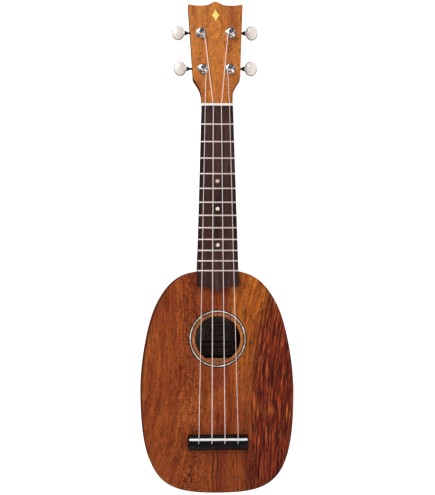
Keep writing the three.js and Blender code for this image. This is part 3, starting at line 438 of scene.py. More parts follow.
def plain_wood(name, dark, mean, light, ring=7.0, along="Y", pore=0.3, rough=0.4, gloss=0.22,
               strip=None, shade=None):
    """Straight-grained wood; `ring` is the width of its broad bands and `along` its grain's axis.

    `strip` can give another place to draw the grain in, and `shade` a factor of painted shade on its
    lightness.
    """
    paint = Paint(name, specular_ior_level=gloss)
    place = strip(paint) if strip else paint.place
    long_axis = "XYZ".index(along)

    def size(wide, lengthwise):
        return tuple(lengthwise if i == long_axis else wide for i in range(3))

    wander = paint.noise(place, size(30, 120), seed=0.8)
    sideways = paint.times(paint.minus(wander, 0.5), 10.0)
    shift = paint.joined(*(0.0 if i == long_axis else sideways for i in range(3)))
    grain = paint.vector("ADD", place, shift)
    broad = paint.noise(grain, size(ring, ring * 20), detail=3, roughness=0.55)
    fine = paint.noise(grain, size(0.6, 18), roughness=0.6, seed=3.3)
    mottle = paint.noise(place, size(3, 8), seed=6.4)
    pores = wood_pores(paint, grain, size(0.3, 4), 0.38)
    colour = paint.ramp(broad, (0.3, dark), (0.5, mean), (0.7, light))
    tone = paint.swayed(fine, 0.8, 1.0)
    tone = paint.swayed(mottle, 0.4, tone)
    tone = paint.linear(pores, -pore, tone)
    if shade:
        tone = paint.times(tone, shade(paint))
    paint.bump(paint.minus(fine, pores), 0.15)
    return paint.done(paint.scaled(colour, tone), paint.linear(mottle, 0.1, rough - 0.05))


def veneer_koa():
    """Lighter koa with curls across it, and red-brown patches on the right and at the foot."""
    paint = Paint("koa_veneer", specular_ior_level=0.2)
    x = paint.axis("X")
    y = paint.along_body(HEAD_Y)
    wander = paint.minus(paint.noise(paint.place, (16, 40, 40), seed=7.7), 0.5)
    across = paint.linear(wander, 14.0, x)
    grain = paint.joined(across, y, 0.0)
    broad = paint.noise(grain, (6, 70, 70), detail=3, roughness=0.6)
    fine = paint.noise(grain, (0.9, 9, 9), detail=3, roughness=0.7, seed=3.1)
    slanted = paint.joined(across, paint.linear(x, -0.4, y), 0.0)
    curl = paint.noise(slanted, (5, 2.0, 2.0), detail=4, roughness=0.7, distortion=0.6, seed=2.9)
    figured = paint.fade(paint.noise(paint.place, (13, 22, 22), detail=1, seed=5.5), 0.4, 0.6, 0.9, 2.5)
    pores = wood_pores(paint, grain, (0.4, 5, 5), 0.38)
    colour = paint.ramp(broad, (0.3, (168, 88, 34)), (0.5, (196, 116, 48)), (0.72, (208, 130, 58)))
    patch = paint.times(paint.fade(y, 46, 70), paint.fade(across, 8, 13))
    patch = paint.times(patch, paint.fade_out(across, 20, 28))
    colour = paint.mix(paint.times(patch, 0.6), colour, srgb(146, 66, 32))
    foot = paint.times(paint.fade_out(y, 18, 34), paint.fade(paint.absolute(x), 6, 18))
    colour = paint.mix(paint.times(foot, 0.55), colour, srgb(140, 62, 28))
    tone = paint.swayed(fine, 2.0, 1.0)
    tone = paint.swayed(curl, figured, tone)
    tone = paint.linear(pores, -0.28, tone)
    height = paint.over_head(HEAD_FACE_HEIGHT)
    # Painted shade: the veneer's rounded edge is darkened.
    tone = paint.times(tone, paint.fade(height, -0.35, -0.01, 0.4, 1.0))
    worn_edge = paint.fade(height, -0.5, -0.1, 0.55, 0.0)
    paint.bump(paint.minus(fine, pores), 0.1)
    rough = paint.plus(worn_edge, paint.linear(curl, 0.1, 0.38))
    return paint.done(paint.scaled(colour, tone), rough)


def pearl():
    """Mother of pearl: greyish brown and pink patches, and white patches that are painted glints."""
    paint = Paint("pearl", coat_weight=0.6, coat_roughness=0.06, ior=1.55)
    # Painted glints: where the broad patches run high, the colour turns white.
    patches = paint.noise(paint.place, (7, 7, 7), distortion=0.8)
    flakes = paint.noise(paint.place, (1.6, 1.6, 1.6), roughness=0.6)
    mixed = paint.swayed(flakes, 0.35, patches)
    colour = paint.ramp(
        mixed, (0.34, (172, 158, 138)), (0.45, (206, 184, 166)), (0.53, (238, 226, 206)),
        (0.6, (255, 251, 242)),
    )
    return paint.done(colour, paint.linear(flakes, 0.2, 0.12))


def cast_plastic(name, low, high, patch, roughness, **settings):
    """Bone, pearloid or plastic with a faint cloudy variation."""
    paint = Paint(name, **settings)
    clouds = paint.noise(paint.place, (patch, patch, patch), detail=3, roughness=0.6, distortion=1.2)
    colour = paint.ramp(clouds, (0.32, low), (0.68, high))
    marks = paint.noise(paint.place, (0.5, 0.5, 0.5), seed=2.0)
    return paint.done(colour, paint.linear(marks, 0.1, roughness - 0.05))


def button_pearloid():
    """Pearl plastic with faint cloudy stripes, with painted shade darkening it round the rim."""
    paint = Paint("button_pearloid", coat_weight=0.5, coat_roughness=0.08, subsurface_weight=0.1)
    clouds = paint.noise(paint.place, (4, 1.5, 4), detail=3, roughness=0.6, distortion=1.2)
    colour = paint.ramp(clouds, (0.35, (246, 236, 226)), (0.65, (255, 251, 246)))
    # Painted shade: the rim, near the button's middle plane, is darkened.
    off_middle = paint.absolute(paint.over_head(HEAD_FACE_HEIGHT - VENEER + WORM_Z))
    colour = paint.scaled(colour, paint.fade(off_middle, 1.45, 1.95, 0.4, 1.0))
    marks = paint.noise(paint.place, (0.5, 0.5, 0.5), seed=2.0)
    return paint.done(colour, paint.linear(marks, 0.1, 0.18))


def metal(name, colour, roughness, brushed=(1, 1, 1), scratch=0.12, **settings):
    """Plated or polished metal with fine handling marks, drawn out along `brushed`."""
    settings.setdefault("metallic", 1.0)
    paint = Paint(name, **settings)
    marks = paint.noise(paint.place, tuple(0.25 * v for v in brushed), detail=3, roughness=0.65)
    smudges = paint.noise(paint.place, (3, 3, 3), seed=4.4)
    tone = paint.swayed(smudges, 0.12, 1.0)
    paint.bump(marks, 0.05, 0.00005)
    rough = paint.linear(marks, scratch, roughness)
    return paint.done(paint.scaled(colour[:3], tone), rough)


def string_nylon():
    # The faint emission is painted light that makes the thin strings glow brighter.
    paint = Paint("string_nylon", ior=1.5, coat_weight=0.4, coat_roughness=0.1, subsurface_weight=0.2,
                  emission_color=(1, 0.88, 0.86, 1), emission_strength=0.14)
    along = paint.noise(paint.place, (2, 6, 2))
    colour = paint.ramp(along, (0.3, (250, 222, 216)), (0.7, (255, 236, 230)))
    return paint.done(colour, paint.linear(along, 0.1, 0.22))


def label_paper():
    """Aged paper with a printed frame and plain grey bars where the maker's words would be; painted
    shade darkens its left side.
    """
    paint = Paint("paper", specular_ior_level=0.2)
    x = paint.axis("X")
    y = paint.along_body()
    fibres = paint.noise(paint.place, (1.2, 0.5, 0.5), detail=3, roughness=0.7)
    stain = paint.noise(paint.place, (14, 14, 14), seed=3.0)
    colour = paint.ramp(stain, (0.3, (226, 202, 184)), (0.7, (246, 228, 212)))
    # Painted shade: the paper is darker towards the left, where less light falls into the hole.
    colour = paint.scaled(colour, paint.fade(x, -14, 6, 0.6, 1.0))
    ink = 0.0
    middle = (LABEL["y0"] + LABEL["y1"]) / 2
    bars = ((12, 6, 0.5), (8, 9, 0.5), (4, 6, 0.5), (-2, 10, 0.5), (-8.5, 15, 1.3), (-14, 17, 0.7))
    for bar_y, half_length, half_height in bars:
        beside = paint.absolute(x)
        above = paint.absolute(paint.minus(y, middle + bar_y))
        inside = paint.times(
            paint.fade_out(beside, half_length - 0.3, half_length),
            paint.fade_out(above, half_height - 0.2, half_height),
        )
        ink = paint.math("MAXIMUM", ink, inside)
    margin = 2
    half_height = (LABEL["y1"] - LABEL["y0"]) / 2
    out_x = paint.minus(paint.absolute(x), LABEL["half_width"] - margin)
    out_y = paint.minus(paint.absolute(paint.minus(y, middle)), half_height - margin)
    border = paint.absolute(paint.math("MAXIMUM", out_x, out_y))
    ink = paint.math("MAXIMUM", ink, paint.fade_out(border, 0.2, 0.4))
    colour = paint.mix(paint.times(ink, 0.7), colour, srgb(60, 54, 50))
    paint.bump(fibres, 0.1)
    return paint.done(colour, paint.linear(fibres, 0.1, 0.8))


KOA_TOP = soundboard_koa()
KOA = plain_wood("koa", (98, 44, 22), (126, 60, 30), (150, 78, 40))
# Painted shade: the sides' koa is darker than the back's, as the sides seen edge-on look in shade.
KOA_SIDE_IN_PAINTED_SHADE = plain_wood("koa_side_painted_shade", (62, 24, 12), (88, 38, 19), (114, 54, 28), ring=6,
                      rough=0.6, gloss=0.0, strip=bent_round_body)
KOA_VENEER = veneer_koa()
NECK_WOOD = plain_wood("neck_wood", (66, 28, 15), (88, 40, 22), (106, 54, 30), ring=9,
                       rough=0.55, gloss=0.0)
INNER_WOOD = plain_wood("inner_wood", (132, 84, 50), (152, 102, 64), (170, 120, 80), ring=3,
                        along="X", pore=0.1, rough=0.75)
# The fingerboard's darker edges are painted shade.
ROSEWOOD = plain_wood("rosewood", (42, 22, 20), (64, 39, 37), (82, 52, 47), ring=4,
                      rough=0.48, shade=board_edge_painted_shade)
BRIDGE_WOOD = plain_wood("bridge_wood", (10, 8, 8), (18, 15, 15), (28, 23, 22), ring=3,
                         along="X", rough=0.45, gloss=0.14)
PEARL = pearl()
LINE_BLACK = cast_plastic("line_black", (22, 19, 18), (34, 30, 28), 2, 0.4)
BONE = cast_plastic("bone", (250, 248, 242), (255, 255, 252), 5, 0.3, subsurface_weight=0.1)
PEARLOID = button_pearloid()
FRET_METAL = metal("fret_metal", srgb(244, 230, 222), 0.42, brushed=(6, 1, 1), metallic=0.55)
CHROME = metal("chrome", srgb(228, 230, 234), 0.06, scratch=0.06)
SATIN_CHROME = metal("satin_chrome", srgb(240, 238, 236), 0.16, scratch=0.06)
DIE_CAST = metal("die_cast", srgb(206, 208, 212), 0.2)
SHAFT_STEEL = metal("shaft_steel", srgb(64, 64, 68), 0.3)
GOLD = metal("gold_inlay", srgb(255, 226, 120), 0.55, metallic=0.45)
NYLON = string_nylon()
PAPER = label_paper()

# ---------------------------------------------------------------- mesh building


def polar(radius, angle, x=0.0, y=0.0):
    """The point at an angle in radians and a distance from (x, y)."""
    return x + radius * math.cos(angle), y + radius * math.sin(angle)


def arc(centre, radius, start, end, steps):
    """Points of a circular arc; angles in degrees."""
    angles = [math.radians(start + (end - start) * i / steps) for i in range(steps + 1)]
    return [polar(radius, angle, *centre) for angle in angles]


def quarter(steps):
    """Angles from 0 to a quarter turn."""
    return [math.pi / 2 * i / steps for i in range(steps + 1)]


def circle(radius, steps, x=0.0, y=0.0):
    return [polar(radius, TURN * i / steps, x, y) for i in range(steps)]


def rectangle(x0, x1, y0, y1):
    return [(x0, y0), (x1, y0), (x1, y1), (x0, y1)]


def bezier(start, first, second, end, steps):
    """Points of a cubic curve, without its start."""
    points = []
    for i in range(1, steps + 1):
        t = i / steps
        weights = ((1 - t) ** 3, 3 * t * (1 - t) ** 2, 3 * t * t * (1 - t), t ** 3)
        points.append(tuple(
            sum(w * p[k] for w, p in zip(weights, (start, first, second, end))) for k in range(2)
        ))
    return points


def quadratic(start, middle, end, steps):
    """Points of a quadratic curve, without its start."""
    first = [start[k] + (middle[k] - start[k]) * 2 / 3 for k in range(2)]
    second = [end[k] + (middle[k] - end[k]) * 2 / 3 for k in range(2)]
    return bezier(start, first, second, end, steps)


def flipped(points):
    """Points mirrored across the middle line, in the opposite order."""
    return [(-x, y) for x, y in reversed(points)]


def mirrored(right):
    """A closed outline from its right half, which starts and ends on the middle line."""
    return right + flipped(right[1:-1])


def inset(outline, distance):
    """The anticlockwise outline moved inwards."""
    moved = []
    for i, point in enumerate(outline):
        here = Vector(point)
        before = (here - Vector(outline[i - 1])).normalized()
        after = (Vector(outline[(i + 1) % len(outline)]) - here).normalized()
        normals = [Vector((-d.y, d.x)) for d in (before, after)]
        bisector = (normals[0] + normals[1]).normalized()
        reach = distance / max(bisector.dot(normals[0]), 0.6)
        moved.append(tuple(here + bisector * reach))
    return moved


def at(outline, z):
    return [(x, y, z) for x, y in outline]


def loft(rings, around=False):
    """Vertices and faces of rings joined in order. The ends are capped, or joined if it goes around."""
    count = len(rings[0])
    faces = []
    pairs = len(rings) if around else len(rings) - 1
    for ring in range(pairs):
        below, above = ring * count, (ring + 1) % len(rings) * count
        for i in range(count):
            j = (i + 1) % count
            faces.append((below + i, below + j, above + j, above + i))
    if not around:
        faces.append(tuple(reversed(range(count))))
        faces.append(tuple((len(rings) - 1) * count + i for i in range(count)))
    return [point for ring in rings for point in ring], faces


def plate(outline, z0, z1, lower=0.0, upper=0.0, steps=5):
    """A flat solid with rounded lower and upper edges."""
    rings = []
    if lower:
        rings.append(at(inset(outline, lower + 0.3), z0))
        rings += [at(inset(outline, lower - lower * math.sin(a)), z0 + lower - lower * math.cos(a))
                  for a in quarter(steps)]
    else:
        rings.append(at(outline, z0))
    if upper:
        rings += [at(inset(outline, upper - upper * math.cos(a)), z1 - upper + upper * math.sin(a))
                  for a in quarter(steps)]
        rings.append(at(inset(outline, upper + 0.3), z1))
    else:
        rings.append(at(outline, z1))
    return loft(rings)


def turned(profile, sides, around=False):
    """A solid turned about Z from (radius, z) points that go upwards, or round a ring's section."""
    least = 0.01
    return loft([at(circle(max(radius, least), sides), z) for radius, z in profile], around)


def cylinder(radius, z0, z1, sides):
    return turned([(0, z0), (radius, z0), (radius, z1), (0, z1)], sides)


def hoop(inner, outer, z0, z1, sides):
    """A flat ring about Z."""
    return turned([(inner, z0), (outer, z0), (outer, z1), (inner, z1)], sides, around=True)


def rounded(corners, radius):
    """A profile with its inner corners rounded; the first and last points stay."""
    points = [corners[0]]
    for before, corner, after in zip(corners, corners[1:], corners[2:]):
        c = Vector(corner)
        to_before, to_after = Vector(before) - c, Vector(after) - c
        cut = min(radius, 0.45 * to_before.length, 0.45 * to_after.length)
        start, end = c + to_before.normalized() * cut, c + to_after.normalized() * cut
        points.append(tuple(start))
        points += quadratic(start, c, end, 4)
    return points + [corners[-1]]


def swept(points, radius, sides=12):
    """A round tube through points, its ends closed."""
    points = [Vector(p) for p in points]
    rings = []
    normal = None
    for i, point in enumerate(points):
        along = (points[min(i + 1, len(points) - 1)] - points[max(i - 1, 0)]).normalized()
        if normal is None:
            normal = along.orthogonal()
        normal = (normal - along * normal.dot(along)).normalized()
        side = along.cross(normal)
        rings.append([tuple(point + radius * (normal * c + side * s)) for c, s in circle(1, sides)])
    return loft(rings)


def extruded(profile, half_length, edge):
    """A profile of (y, z) points stretched along X, its two ends drawn in by `edge`."""
    rings = []
    centre = [sum(p[k] for p in profile) / len(profile) for k in range(2)]
    straight = half_length - edge
    for x, drawn in ((-half_length, edge), (-straight, 0), (straight, 0), (half_length, edge)):
        shrink = [1 - drawn / max(abs(p[k] - centre[k]) for p in profile) for k in range(2)]
        rings.append([
            (x, centre[0] + (y - centre[0]) * shrink[0], centre[1] + (z - centre[1]) * shrink[1])
            for y, z in profile
        ])
    return loft(rings)


def turned_mesh(shape, matrix):
    """A shape's vertices moved by a matrix."""
    vertices, faces = shape
    return [tuple(matrix @ Vector(v)) for v in vertices], faces


def together(*shapes):
    """Several closed shapes as one list of vertices and faces."""
    vertices, faces = [], []
    for more_vertices, more_faces in shapes:
        faces += [tuple(len(vertices) + i for i in face) for face in more_faces]
        vertices += more_vertices
    return vertices, faces


def raw_object(name, shape, space):
    vertices, faces = shape
    mesh = bpy.data.meshes.new(name)
    mesh.from_pydata([space @ Vector(v) for v in vertices], [], faces)
    made = bpy.data.objects.new(name, mesh)
    bpy.context.scene.collection.objects.link(made)
    bpy.context.view_layer.objects.active = made
    made.select_set(True)
    bpy.ops.object.mode_set(mode="EDIT")
    bpy.ops.mesh.select_all(action="SELECT")
    bpy.ops.mesh.normals_make_consistent(inside=False)
    bpy.ops.object.mode_set(mode="OBJECT")
    made.select_set(False)
    return made


def apply_modifiers(piece):
    bpy.context.view_layer.update()
    evaluated = piece.evaluated_get(bpy.context.evaluated_depsgraph_get())
    mesh = bpy.data.meshes.new_from_object(evaluated)
    piece.modifiers.clear()
    piece.data = mesh


def combine(piece, operation, shapes, space):
    """Joins or cuts shapes, one after the other."""
    for shape in shapes:
        tool = raw_object("tool", shape, space)
        modifier = piece.modifiers.new("boolean", "BOOLEAN")
        modifier.operation = operation
        modifier.object = tool
        modifier.solver = "EXACT"
        apply_modifiers(piece)
        bpy.data.objects.remove(tool)


def piece(name, shape, material, space=BODY_SPACE, body="root", slot=None, replaces=(), fused=(),
          cut=(), bevel=0.0, sharp=32):
    """One visible piece: mesh, joins and cuts, soft edges, finish, and its place in the frame."""
    made = raw_object(name, shape, space)
    combine(made, "UNION", fused, space)
    combine(made, "DIFFERENCE", cut, space)
    if bevel:
        modifier = made.modifiers.new("bevel", "BEVEL")
        modifier.width = bevel * 0.001
        modifier.segments = 2
        modifier.limit_method = "ANGLE"
        modifier.angle_limit = math.radians(40)
        apply_modifiers(made)
    made.data.materials.clear()
    made.data.materials.append(material)
    made.data.shade_smooth()
    made.data.set_sharp_from_angle(angle=math.radians(sharp))
    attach(made, body)
    if replaces:
        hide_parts(*replaces)
    return made


# ---------------------------------------------------------------- the body


def body_outline():
    """Three curves from the tail past the widest place and the shoulder to the neck end, mirrored."""
    right = [(0, 0)]
    ends = (BODY_HALF_WIDTH, WIDEST_Y), SHOULDER, (0, BODY_LENGTH)
    for handles, end in zip((TAIL_HANDLES, SIDE_HANDLES, SHOULDER_HANDLES), ends):
        right += bezier(right[-1], *handles, end, OUTLINE_STEPS)
    return mirrored(right)


OUTLINE = body_outline()


def hole_ring(radius):
    """A circle about the soundhole's centre with a point towards each point of the body's outline."""
    centre = Vector((0, SOUNDHOLE_Y))
    return [tuple(centre + (Vector(p) - centre).normalized() * radius) for p in OUTLINE]


def soundboard():
    z0, z1 = BODY_DEPTH - TOP_THICKNESS, BODY_DEPTH
    rings = [at(OUTLINE, z0)]
    for angle in quarter(5):
        drawn = EDGE_ROUNDING * (1 - math.cos(angle))
        rings.append(at(inset(OUTLINE, drawn), z1 - EDGE_ROUNDING * (1 - math.sin(angle))))
    rings.append(at(inset(OUTLINE, EDGE_ROUNDING + 0.4), z1))
    channel_out, channel_in = ROSETTE_OUTER + GLUE, ROSETTE_INNER - GLUE
    floor = z1 - ROSETTE_DEPTH - GLUE
    edge = HOLE_EDGE_ROUNDING
    hole_edge = SOUNDHOLE_RADIUS + edge
    wall = [
        (channel_out + 0.3, z1), (channel_out, z1), (channel_out, floor), (channel_in, floor),
        (channel_in, z1), (hole_edge + 0.3, z1),
    ]
    wall += [(hole_edge - u, z1 - edge + v) for u, v in arc((0, 0), edge, 90, 0, 4)]
    wall.append((SOUNDHOLE_RADIUS, z0))
    rings += [at(hole_ring(radius), z) for radius, z in wall]
    piece("koa_soundboard", loft(rings, around=True), KOA_TOP, slot="koa_top", replaces=["soundboard"])


def rosette():
    """A pearl ring in short segments, with a black line inside and outside it."""
    top, bottom = BODY_DEPTH, BODY_DEPTH - ROSETTE_DEPTH
    lines = [hoop(inner, outer, bottom, top, 128)
             for inner, outer in ((ROSETTE_INNER, PEARL_INNER), (PEARL_OUTER, ROSETTE_OUTER))]
    around_hole = BODY_SPACE @ Matrix.Translation((0, SOUNDHOLE_Y, 0))
    piece("rosette_lines", together(*lines), LINE_BLACK, around_hole)
    half_gap = math.degrees(PEARL_GAP / PEARL_OUTER / 2)
    seam = 0.03
    shapes = []
    for i in range(PEARL_SEGMENTS):
        start = 360 * i / PEARL_SEGMENTS + half_gap
        end = 360 * (i + 1) / PEARL_SEGMENTS - half_gap
        outline = arc((0, 0), PEARL_OUTER - seam, start, end, 6)
        outline += arc((0, 0), PEARL_INNER + seam, end, start, 6)
        shapes.append(plate(outline, bottom, top, upper=0.05, steps=2))
    piece("rosette_pearl", together(*shapes), PEARL, around_hole, slot="pearl",
          replaces=["rosette_ring"])


def body():
    soundboard()
    rosette()
    piece("koa_back", plate(OUTLINE, 0, BACK_THICKNESS, lower=EDGE_ROUNDING), KOA, slot="koa",
          replaces=["back_plate"])
    inner = inset(OUTLINE, RIM_THICKNESS)
    walls = [at(OUTLINE, RIM_BOTTOM), at(OUTLINE, RIM_TOP), at(inner, RIM_TOP), at(inner, RIM_BOTTOM)]
    piece("koa_rim", loft(walls, around=True), KOA_SIDE_IN_PAINTED_SHADE, slot="koa", replaces=["rim"])
    half = LABEL["half_width"]
    corners = rectangle(-half, half, LABEL["y0"], LABEL["y1"])
    paper = plate(corners, RIM_BOTTOM, RIM_BOTTOM + LABEL["thickness"])
    piece("paper_label", paper, PAPER, slot="paper", replaces=["label"])
    for name in (
        "top_lining", "back_lining", "neck_block", "tail_block", "upper_top_brace", "lower_top_brace",
        "upper_back_brace", "lower_back_brace", "bridge_plate",
    ):
        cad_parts[name].data.materials.clear()
        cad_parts[name].data.materials.append(INNER_WOOD)


# ---------------------------------------------------------------- neck, headstock and fingerboard


def crown(y, lift):
    """An ogee point across the middle, from one foot to the other, without its first point.

    With lift 1 it points up and starts at the treble side, with lift -1 down from the bass side.
    """
    high = CROWN_HEIGHT
    start = (lift * CROWN_HALF_WIDTH, y)
    tip = (0, y + lift * high)
    leaving = (start[0] * 0.55, y + lift * 0.1)
    arriving = (start[0] * 0.4, y + lift * high * 0.85)
    up = bezier(start, leaving, arriving, tip, 10)
    return up + flipped([start] + up[:-1])


def head_outline(start):
    top = HEAD_LENGTH - CROWN_HEIGHT
    low, high = HEAD_SHOULDER_HALF_WIDTH, HEAD_TOP_HALF_WIDTH
    right = [(NUT_HALF_WIDTH, start), (NUT_HALF_WIDTH, 7)]
    right += bezier(right[-1], (NUT_HALF_WIDTH, 15), (20.5, 20.5), (low - 0.7, 26.8), 12)
    right += quadratic(right[-1], (low, 28.2), (low, 30.5), 5)
    right += bezier(right[-1], (low + 0.7, 52), (high - 1.1, 88), (high, top + HEAD_HORN), 14)
    right += quadratic(right[-1], (high * 0.68, top - HEAD_HORN), (CROWN_HALF_WIDTH, top), 12)
    return right + crown(top, 1) + flipped(right[:-1])


def post_holes(z0, z1):
    """Cutters for the four posts' holes, in the headstock's space."""
    posts = [(s["side"] * s["post"][0], s["post"][1]) for s in STRINGS.values()]
    return [plate(circle(POST_HOLE_RADIUS, 32, x, y), z0, z1) for x, y in posts]


def neck_section(y):
    """The neck's outline across Y at y: a flat top with a rounded back, deeper at the heel."""
    past = max(y - HEAD_Y, 0)
    top = BODY_DEPTH - past * math.tan(HEAD_TILT)
    share = min((y - HEEL_END) / (NUT_Y - HEEL_END), 1)
    slender = NECK_DEPTH_AT_HEEL + share * (NECK_DEPTH_AT_NUT - NECK_DEPTH_AT_HEEL)
    slender = min(slender, NECK_DEPTH_AT_HEEL)
    swing = min(max((HEEL_END - y) / HEEL_RUN, 0), 1)
    heel = 1 - math.sqrt(1 - swing ** 2)
    volute = smoothstep(y, HEAD_Y - 6, HEAD_Y + 8)
    shaft = slender + volute * (HEAD_THICKNESS - slender)
    depth = shaft + heel * (HEEL_DEPTH - shaft)
    power = 2 / (NECK_ROUNDNESS + volute * (12 - NECK_ROUNDNESS))
    half_width = board_half_width(min(y, NUT_Y))
    points = []
    steps = 28
    for i in range(steps + 1):
        angle = math.pi * i / steps
        across = math.copysign(abs(math.cos(angle)) ** power, math.cos(angle))
        down = math.sin(angle) ** power if 0 < i < steps else 0
        points.append((half_width * across, y, max(top - depth * down, 0)))
    return points


def neck():
    stations = [BODY_LENGTH - 12]
    stations += [HEEL_END - HEEL_RUN * math.sin(math.pi / 2 * i / 16) for i in range(16, -1, -1)]
    stations += [300, 320, 340, 360, 380, 395]
    stations += [HEAD_Y - 6 + 1.2 * i for i in range(14)]
    head = plate(head_outline(6.5), -HEAD_THICKNESS, 0, lower=1.6)
    holes = [turned_mesh(hole, HEAD_IN_BODY) for hole in post_holes(-HEAD_THICKNESS - 1, 1)]
    body_end = plate(inset(OUTLINE, -GLUE), -1, BODY_DEPTH + 1)
    piece("mahogany_neck", loft([neck_section(y) for y in stations]), NECK_WOOD, slot="neck_wood",
          replaces=["neck"], fused=[turned_mesh(head, HEAD_IN_BODY)], cut=holes + [body_end], sharp=38)


def lozenge(grow):
    """The emblem's outline: four points with hollow sides between them."""
    y, wide, high = EMBLEM["y"], EMBLEM["half_width"], EMBLEM["half_height"]
    waist = 0.32
    right, top = (wide + grow, y), (0, y + high + grow)
    upper_right = [right] + quadratic(right, (wide * waist, y + high * waist), top, 8)
    upper = upper_right + flipped(upper_right[:-1])
    return upper + [(x, 2 * y - v) for x, v in reversed(upper[1:-1])]


def headstock_face():
    under_nut = plate(rectangle(-30, 30, -20, GLUE), -20, 20)
    under_nut = turned_mesh(under_nut, Matrix.Rotation(HEAD_TILT, 4, "X"))
    emblem_floor = VENEER - EMBLEM["thickness"]
    pocket = plate(lozenge(0.1), emblem_floor - 0.1, VENEER + 1)
    piece("koa_headstock_face", plate(head_outline(-2), 0.1, VENEER, upper=0.6), KOA_VENEER, HEAD_SPACE,
          slot="koa_veneer", replaces=["headstock_veneer"],
          cut=[under_nut, pocket] + post_holes(0, VENEER + 1))
    piece("gold_emblem", plate(lozenge(0), emblem_floor, VENEER + 0.02, upper=0.08, steps=2), GOLD,
          HEAD_SPACE, slot="gold_inlay", replaces=["headstock_emblem"])


def fingerboard():
    wide = board_half_width(BOARD_END + BOARD_CORNER)
    outline = [(-NUT_HALF_WIDTH, NUT_Y - GLUE), (-wide, BOARD_END + BOARD_CORNER)]
    outline += quadratic(outline[-1], (-wide, BOARD_END), (BOARD_CORNER - wide, BOARD_END), 6)
    outline.append((-CROWN_HALF_WIDTH, BOARD_END))
    outline += crown(BOARD_END, -1)
    outline.append((wide - BOARD_CORNER, BOARD_END))
    outline += quadratic(outline[-1], (wide, BOARD_END), (wide, BOARD_END + BOARD_CORNER), 6)
    outline.append((NUT_HALF_WIDTH, NUT_Y - GLUE))
    past, room = BOARD_TOP + 1, 0.04
    half = FRET_TANG_WIDTH / 2 + room
    slot_floor = BOARD_TOP - FRET_TANG_DEPTH - GLUE
    slots = [plate(rectangle(-30, 30, y - half, y + half), slot_floor, past)
             for y in (fret_y(number) for number in range(1, FRET_COUNT + 1))]
    pocket_floor = BOARD_TOP - DOT_THICKNESS - GLUE
    pockets = [plate(circle(DOT_RADIUS + room, 32, 0, dot_y(number)), pocket_floor, past)
               for number in DOT_AFTER_FRETS]
    board = plate(outline, BODY_DEPTH + GLUE, BOARD_TOP, upper=0.4, steps=3)
    piece("rosewood_fingerboard", board, ROSEWOOD, slot="rosewood", replaces=["fingerboard"],
          cut=slots + pockets)


def dot_y(number):
    return (fret_y(number) + fret_y(number + 1)) / 2


def fret(number):
    """A T-shaped wire whose domed crown slopes down at its two ends."""
    y, half = fret_y(number), FRET_TANG_WIDTH / 2
    reach = board_half_width(y) - FRET_INSET
    foot = BOARD_TOP + 0.02
    tang_end = BOARD_TOP - FRET_TANG_DEPTH
    tang = [(y - half, BOARD_TOP), (y - half, tang_end), (y + half, tang_end), (y + half, BOARD_TOP)]
    end = [(reach, 0.12), (reach - 0.35, 0.7), (reach - 0.9, 1)]
    rings = []
    for x, height in [(-x, height) for x, height in end] + end[::-1]:
        dome = [(y + FRET_CROWN_WIDTH / 2 * c, foot + (FRET_CROWN_HEIGHT - 0.02) * s * height)
                for c, s in arc((0, 0), 1, 0, 180, 10)]
        rings.append([(x, py, pz) for py, pz in dome + tang])
    name = f"fret_{number:02d}"
    piece(f"nickel_{name}", loft(rings), FRET_METAL, slot="fret_metal", replaces=[name])


def neck_pieces():
    neck()
    headstock_face()
    fingerboard()
    for number in range(1, FRET_COUNT + 1):
        fret(number)
    dot_bottom = BOARD_TOP - DOT_THICKNESS
    profile = [(0, dot_bottom), (DOT_RADIUS, dot_bottom), (DOT_RADIUS, BOARD_TOP - 0.04),
               (DOT_RADIUS * 0.9, BOARD_TOP), (0, BOARD_TOP + 0.02)]
    for number in DOT_AFTER_FRETS:
        piece(f"pearl_dot_{number + 1}", turned(profile, 32), PEARL,
              BODY_SPACE @ Matrix.Translation((0, dot_y(number), 0)), slot="pearl",
              replaces=[f"position_dot_{number + 1}"])


# ---------------------------------------------------------------- string routes


def speaking_route(string):
    """From the knot in the bridge, over the saddle, to the nut, in the body's space."""
    radius = string["diameter"] / 2
    x = string_x(string, SADDLE_SPACING)
    round_top = SADDLE_THICKNESS / 2
    wrap = round_top + radius + GLUE
    knot = Vector((SADDLE_Y - KNOT_BORE["knot"], BODY_DEPTH + KNOT_BORE["height"]))
    centre = Vector((SADDLE_Y, SADDLE_TOP - round_top))
    towards = knot - centre
    first = math.atan2(towards.y, towards.x) + TURN - math.acos(wrap / towards.length)
    points = [Vector((x, knot.x, knot.y))]
    steps = 10
    for i in range(steps + 1):
        angle = first + (math.pi / 2 - first) * i / steps
        points.append(Vector((x, *polar(wrap, angle, *centre))))
    points.append(Vector((string_x(string, NUT_SPACING), NUT_Y, STRING_AT_NUT + radius + GLUE)))
    return points


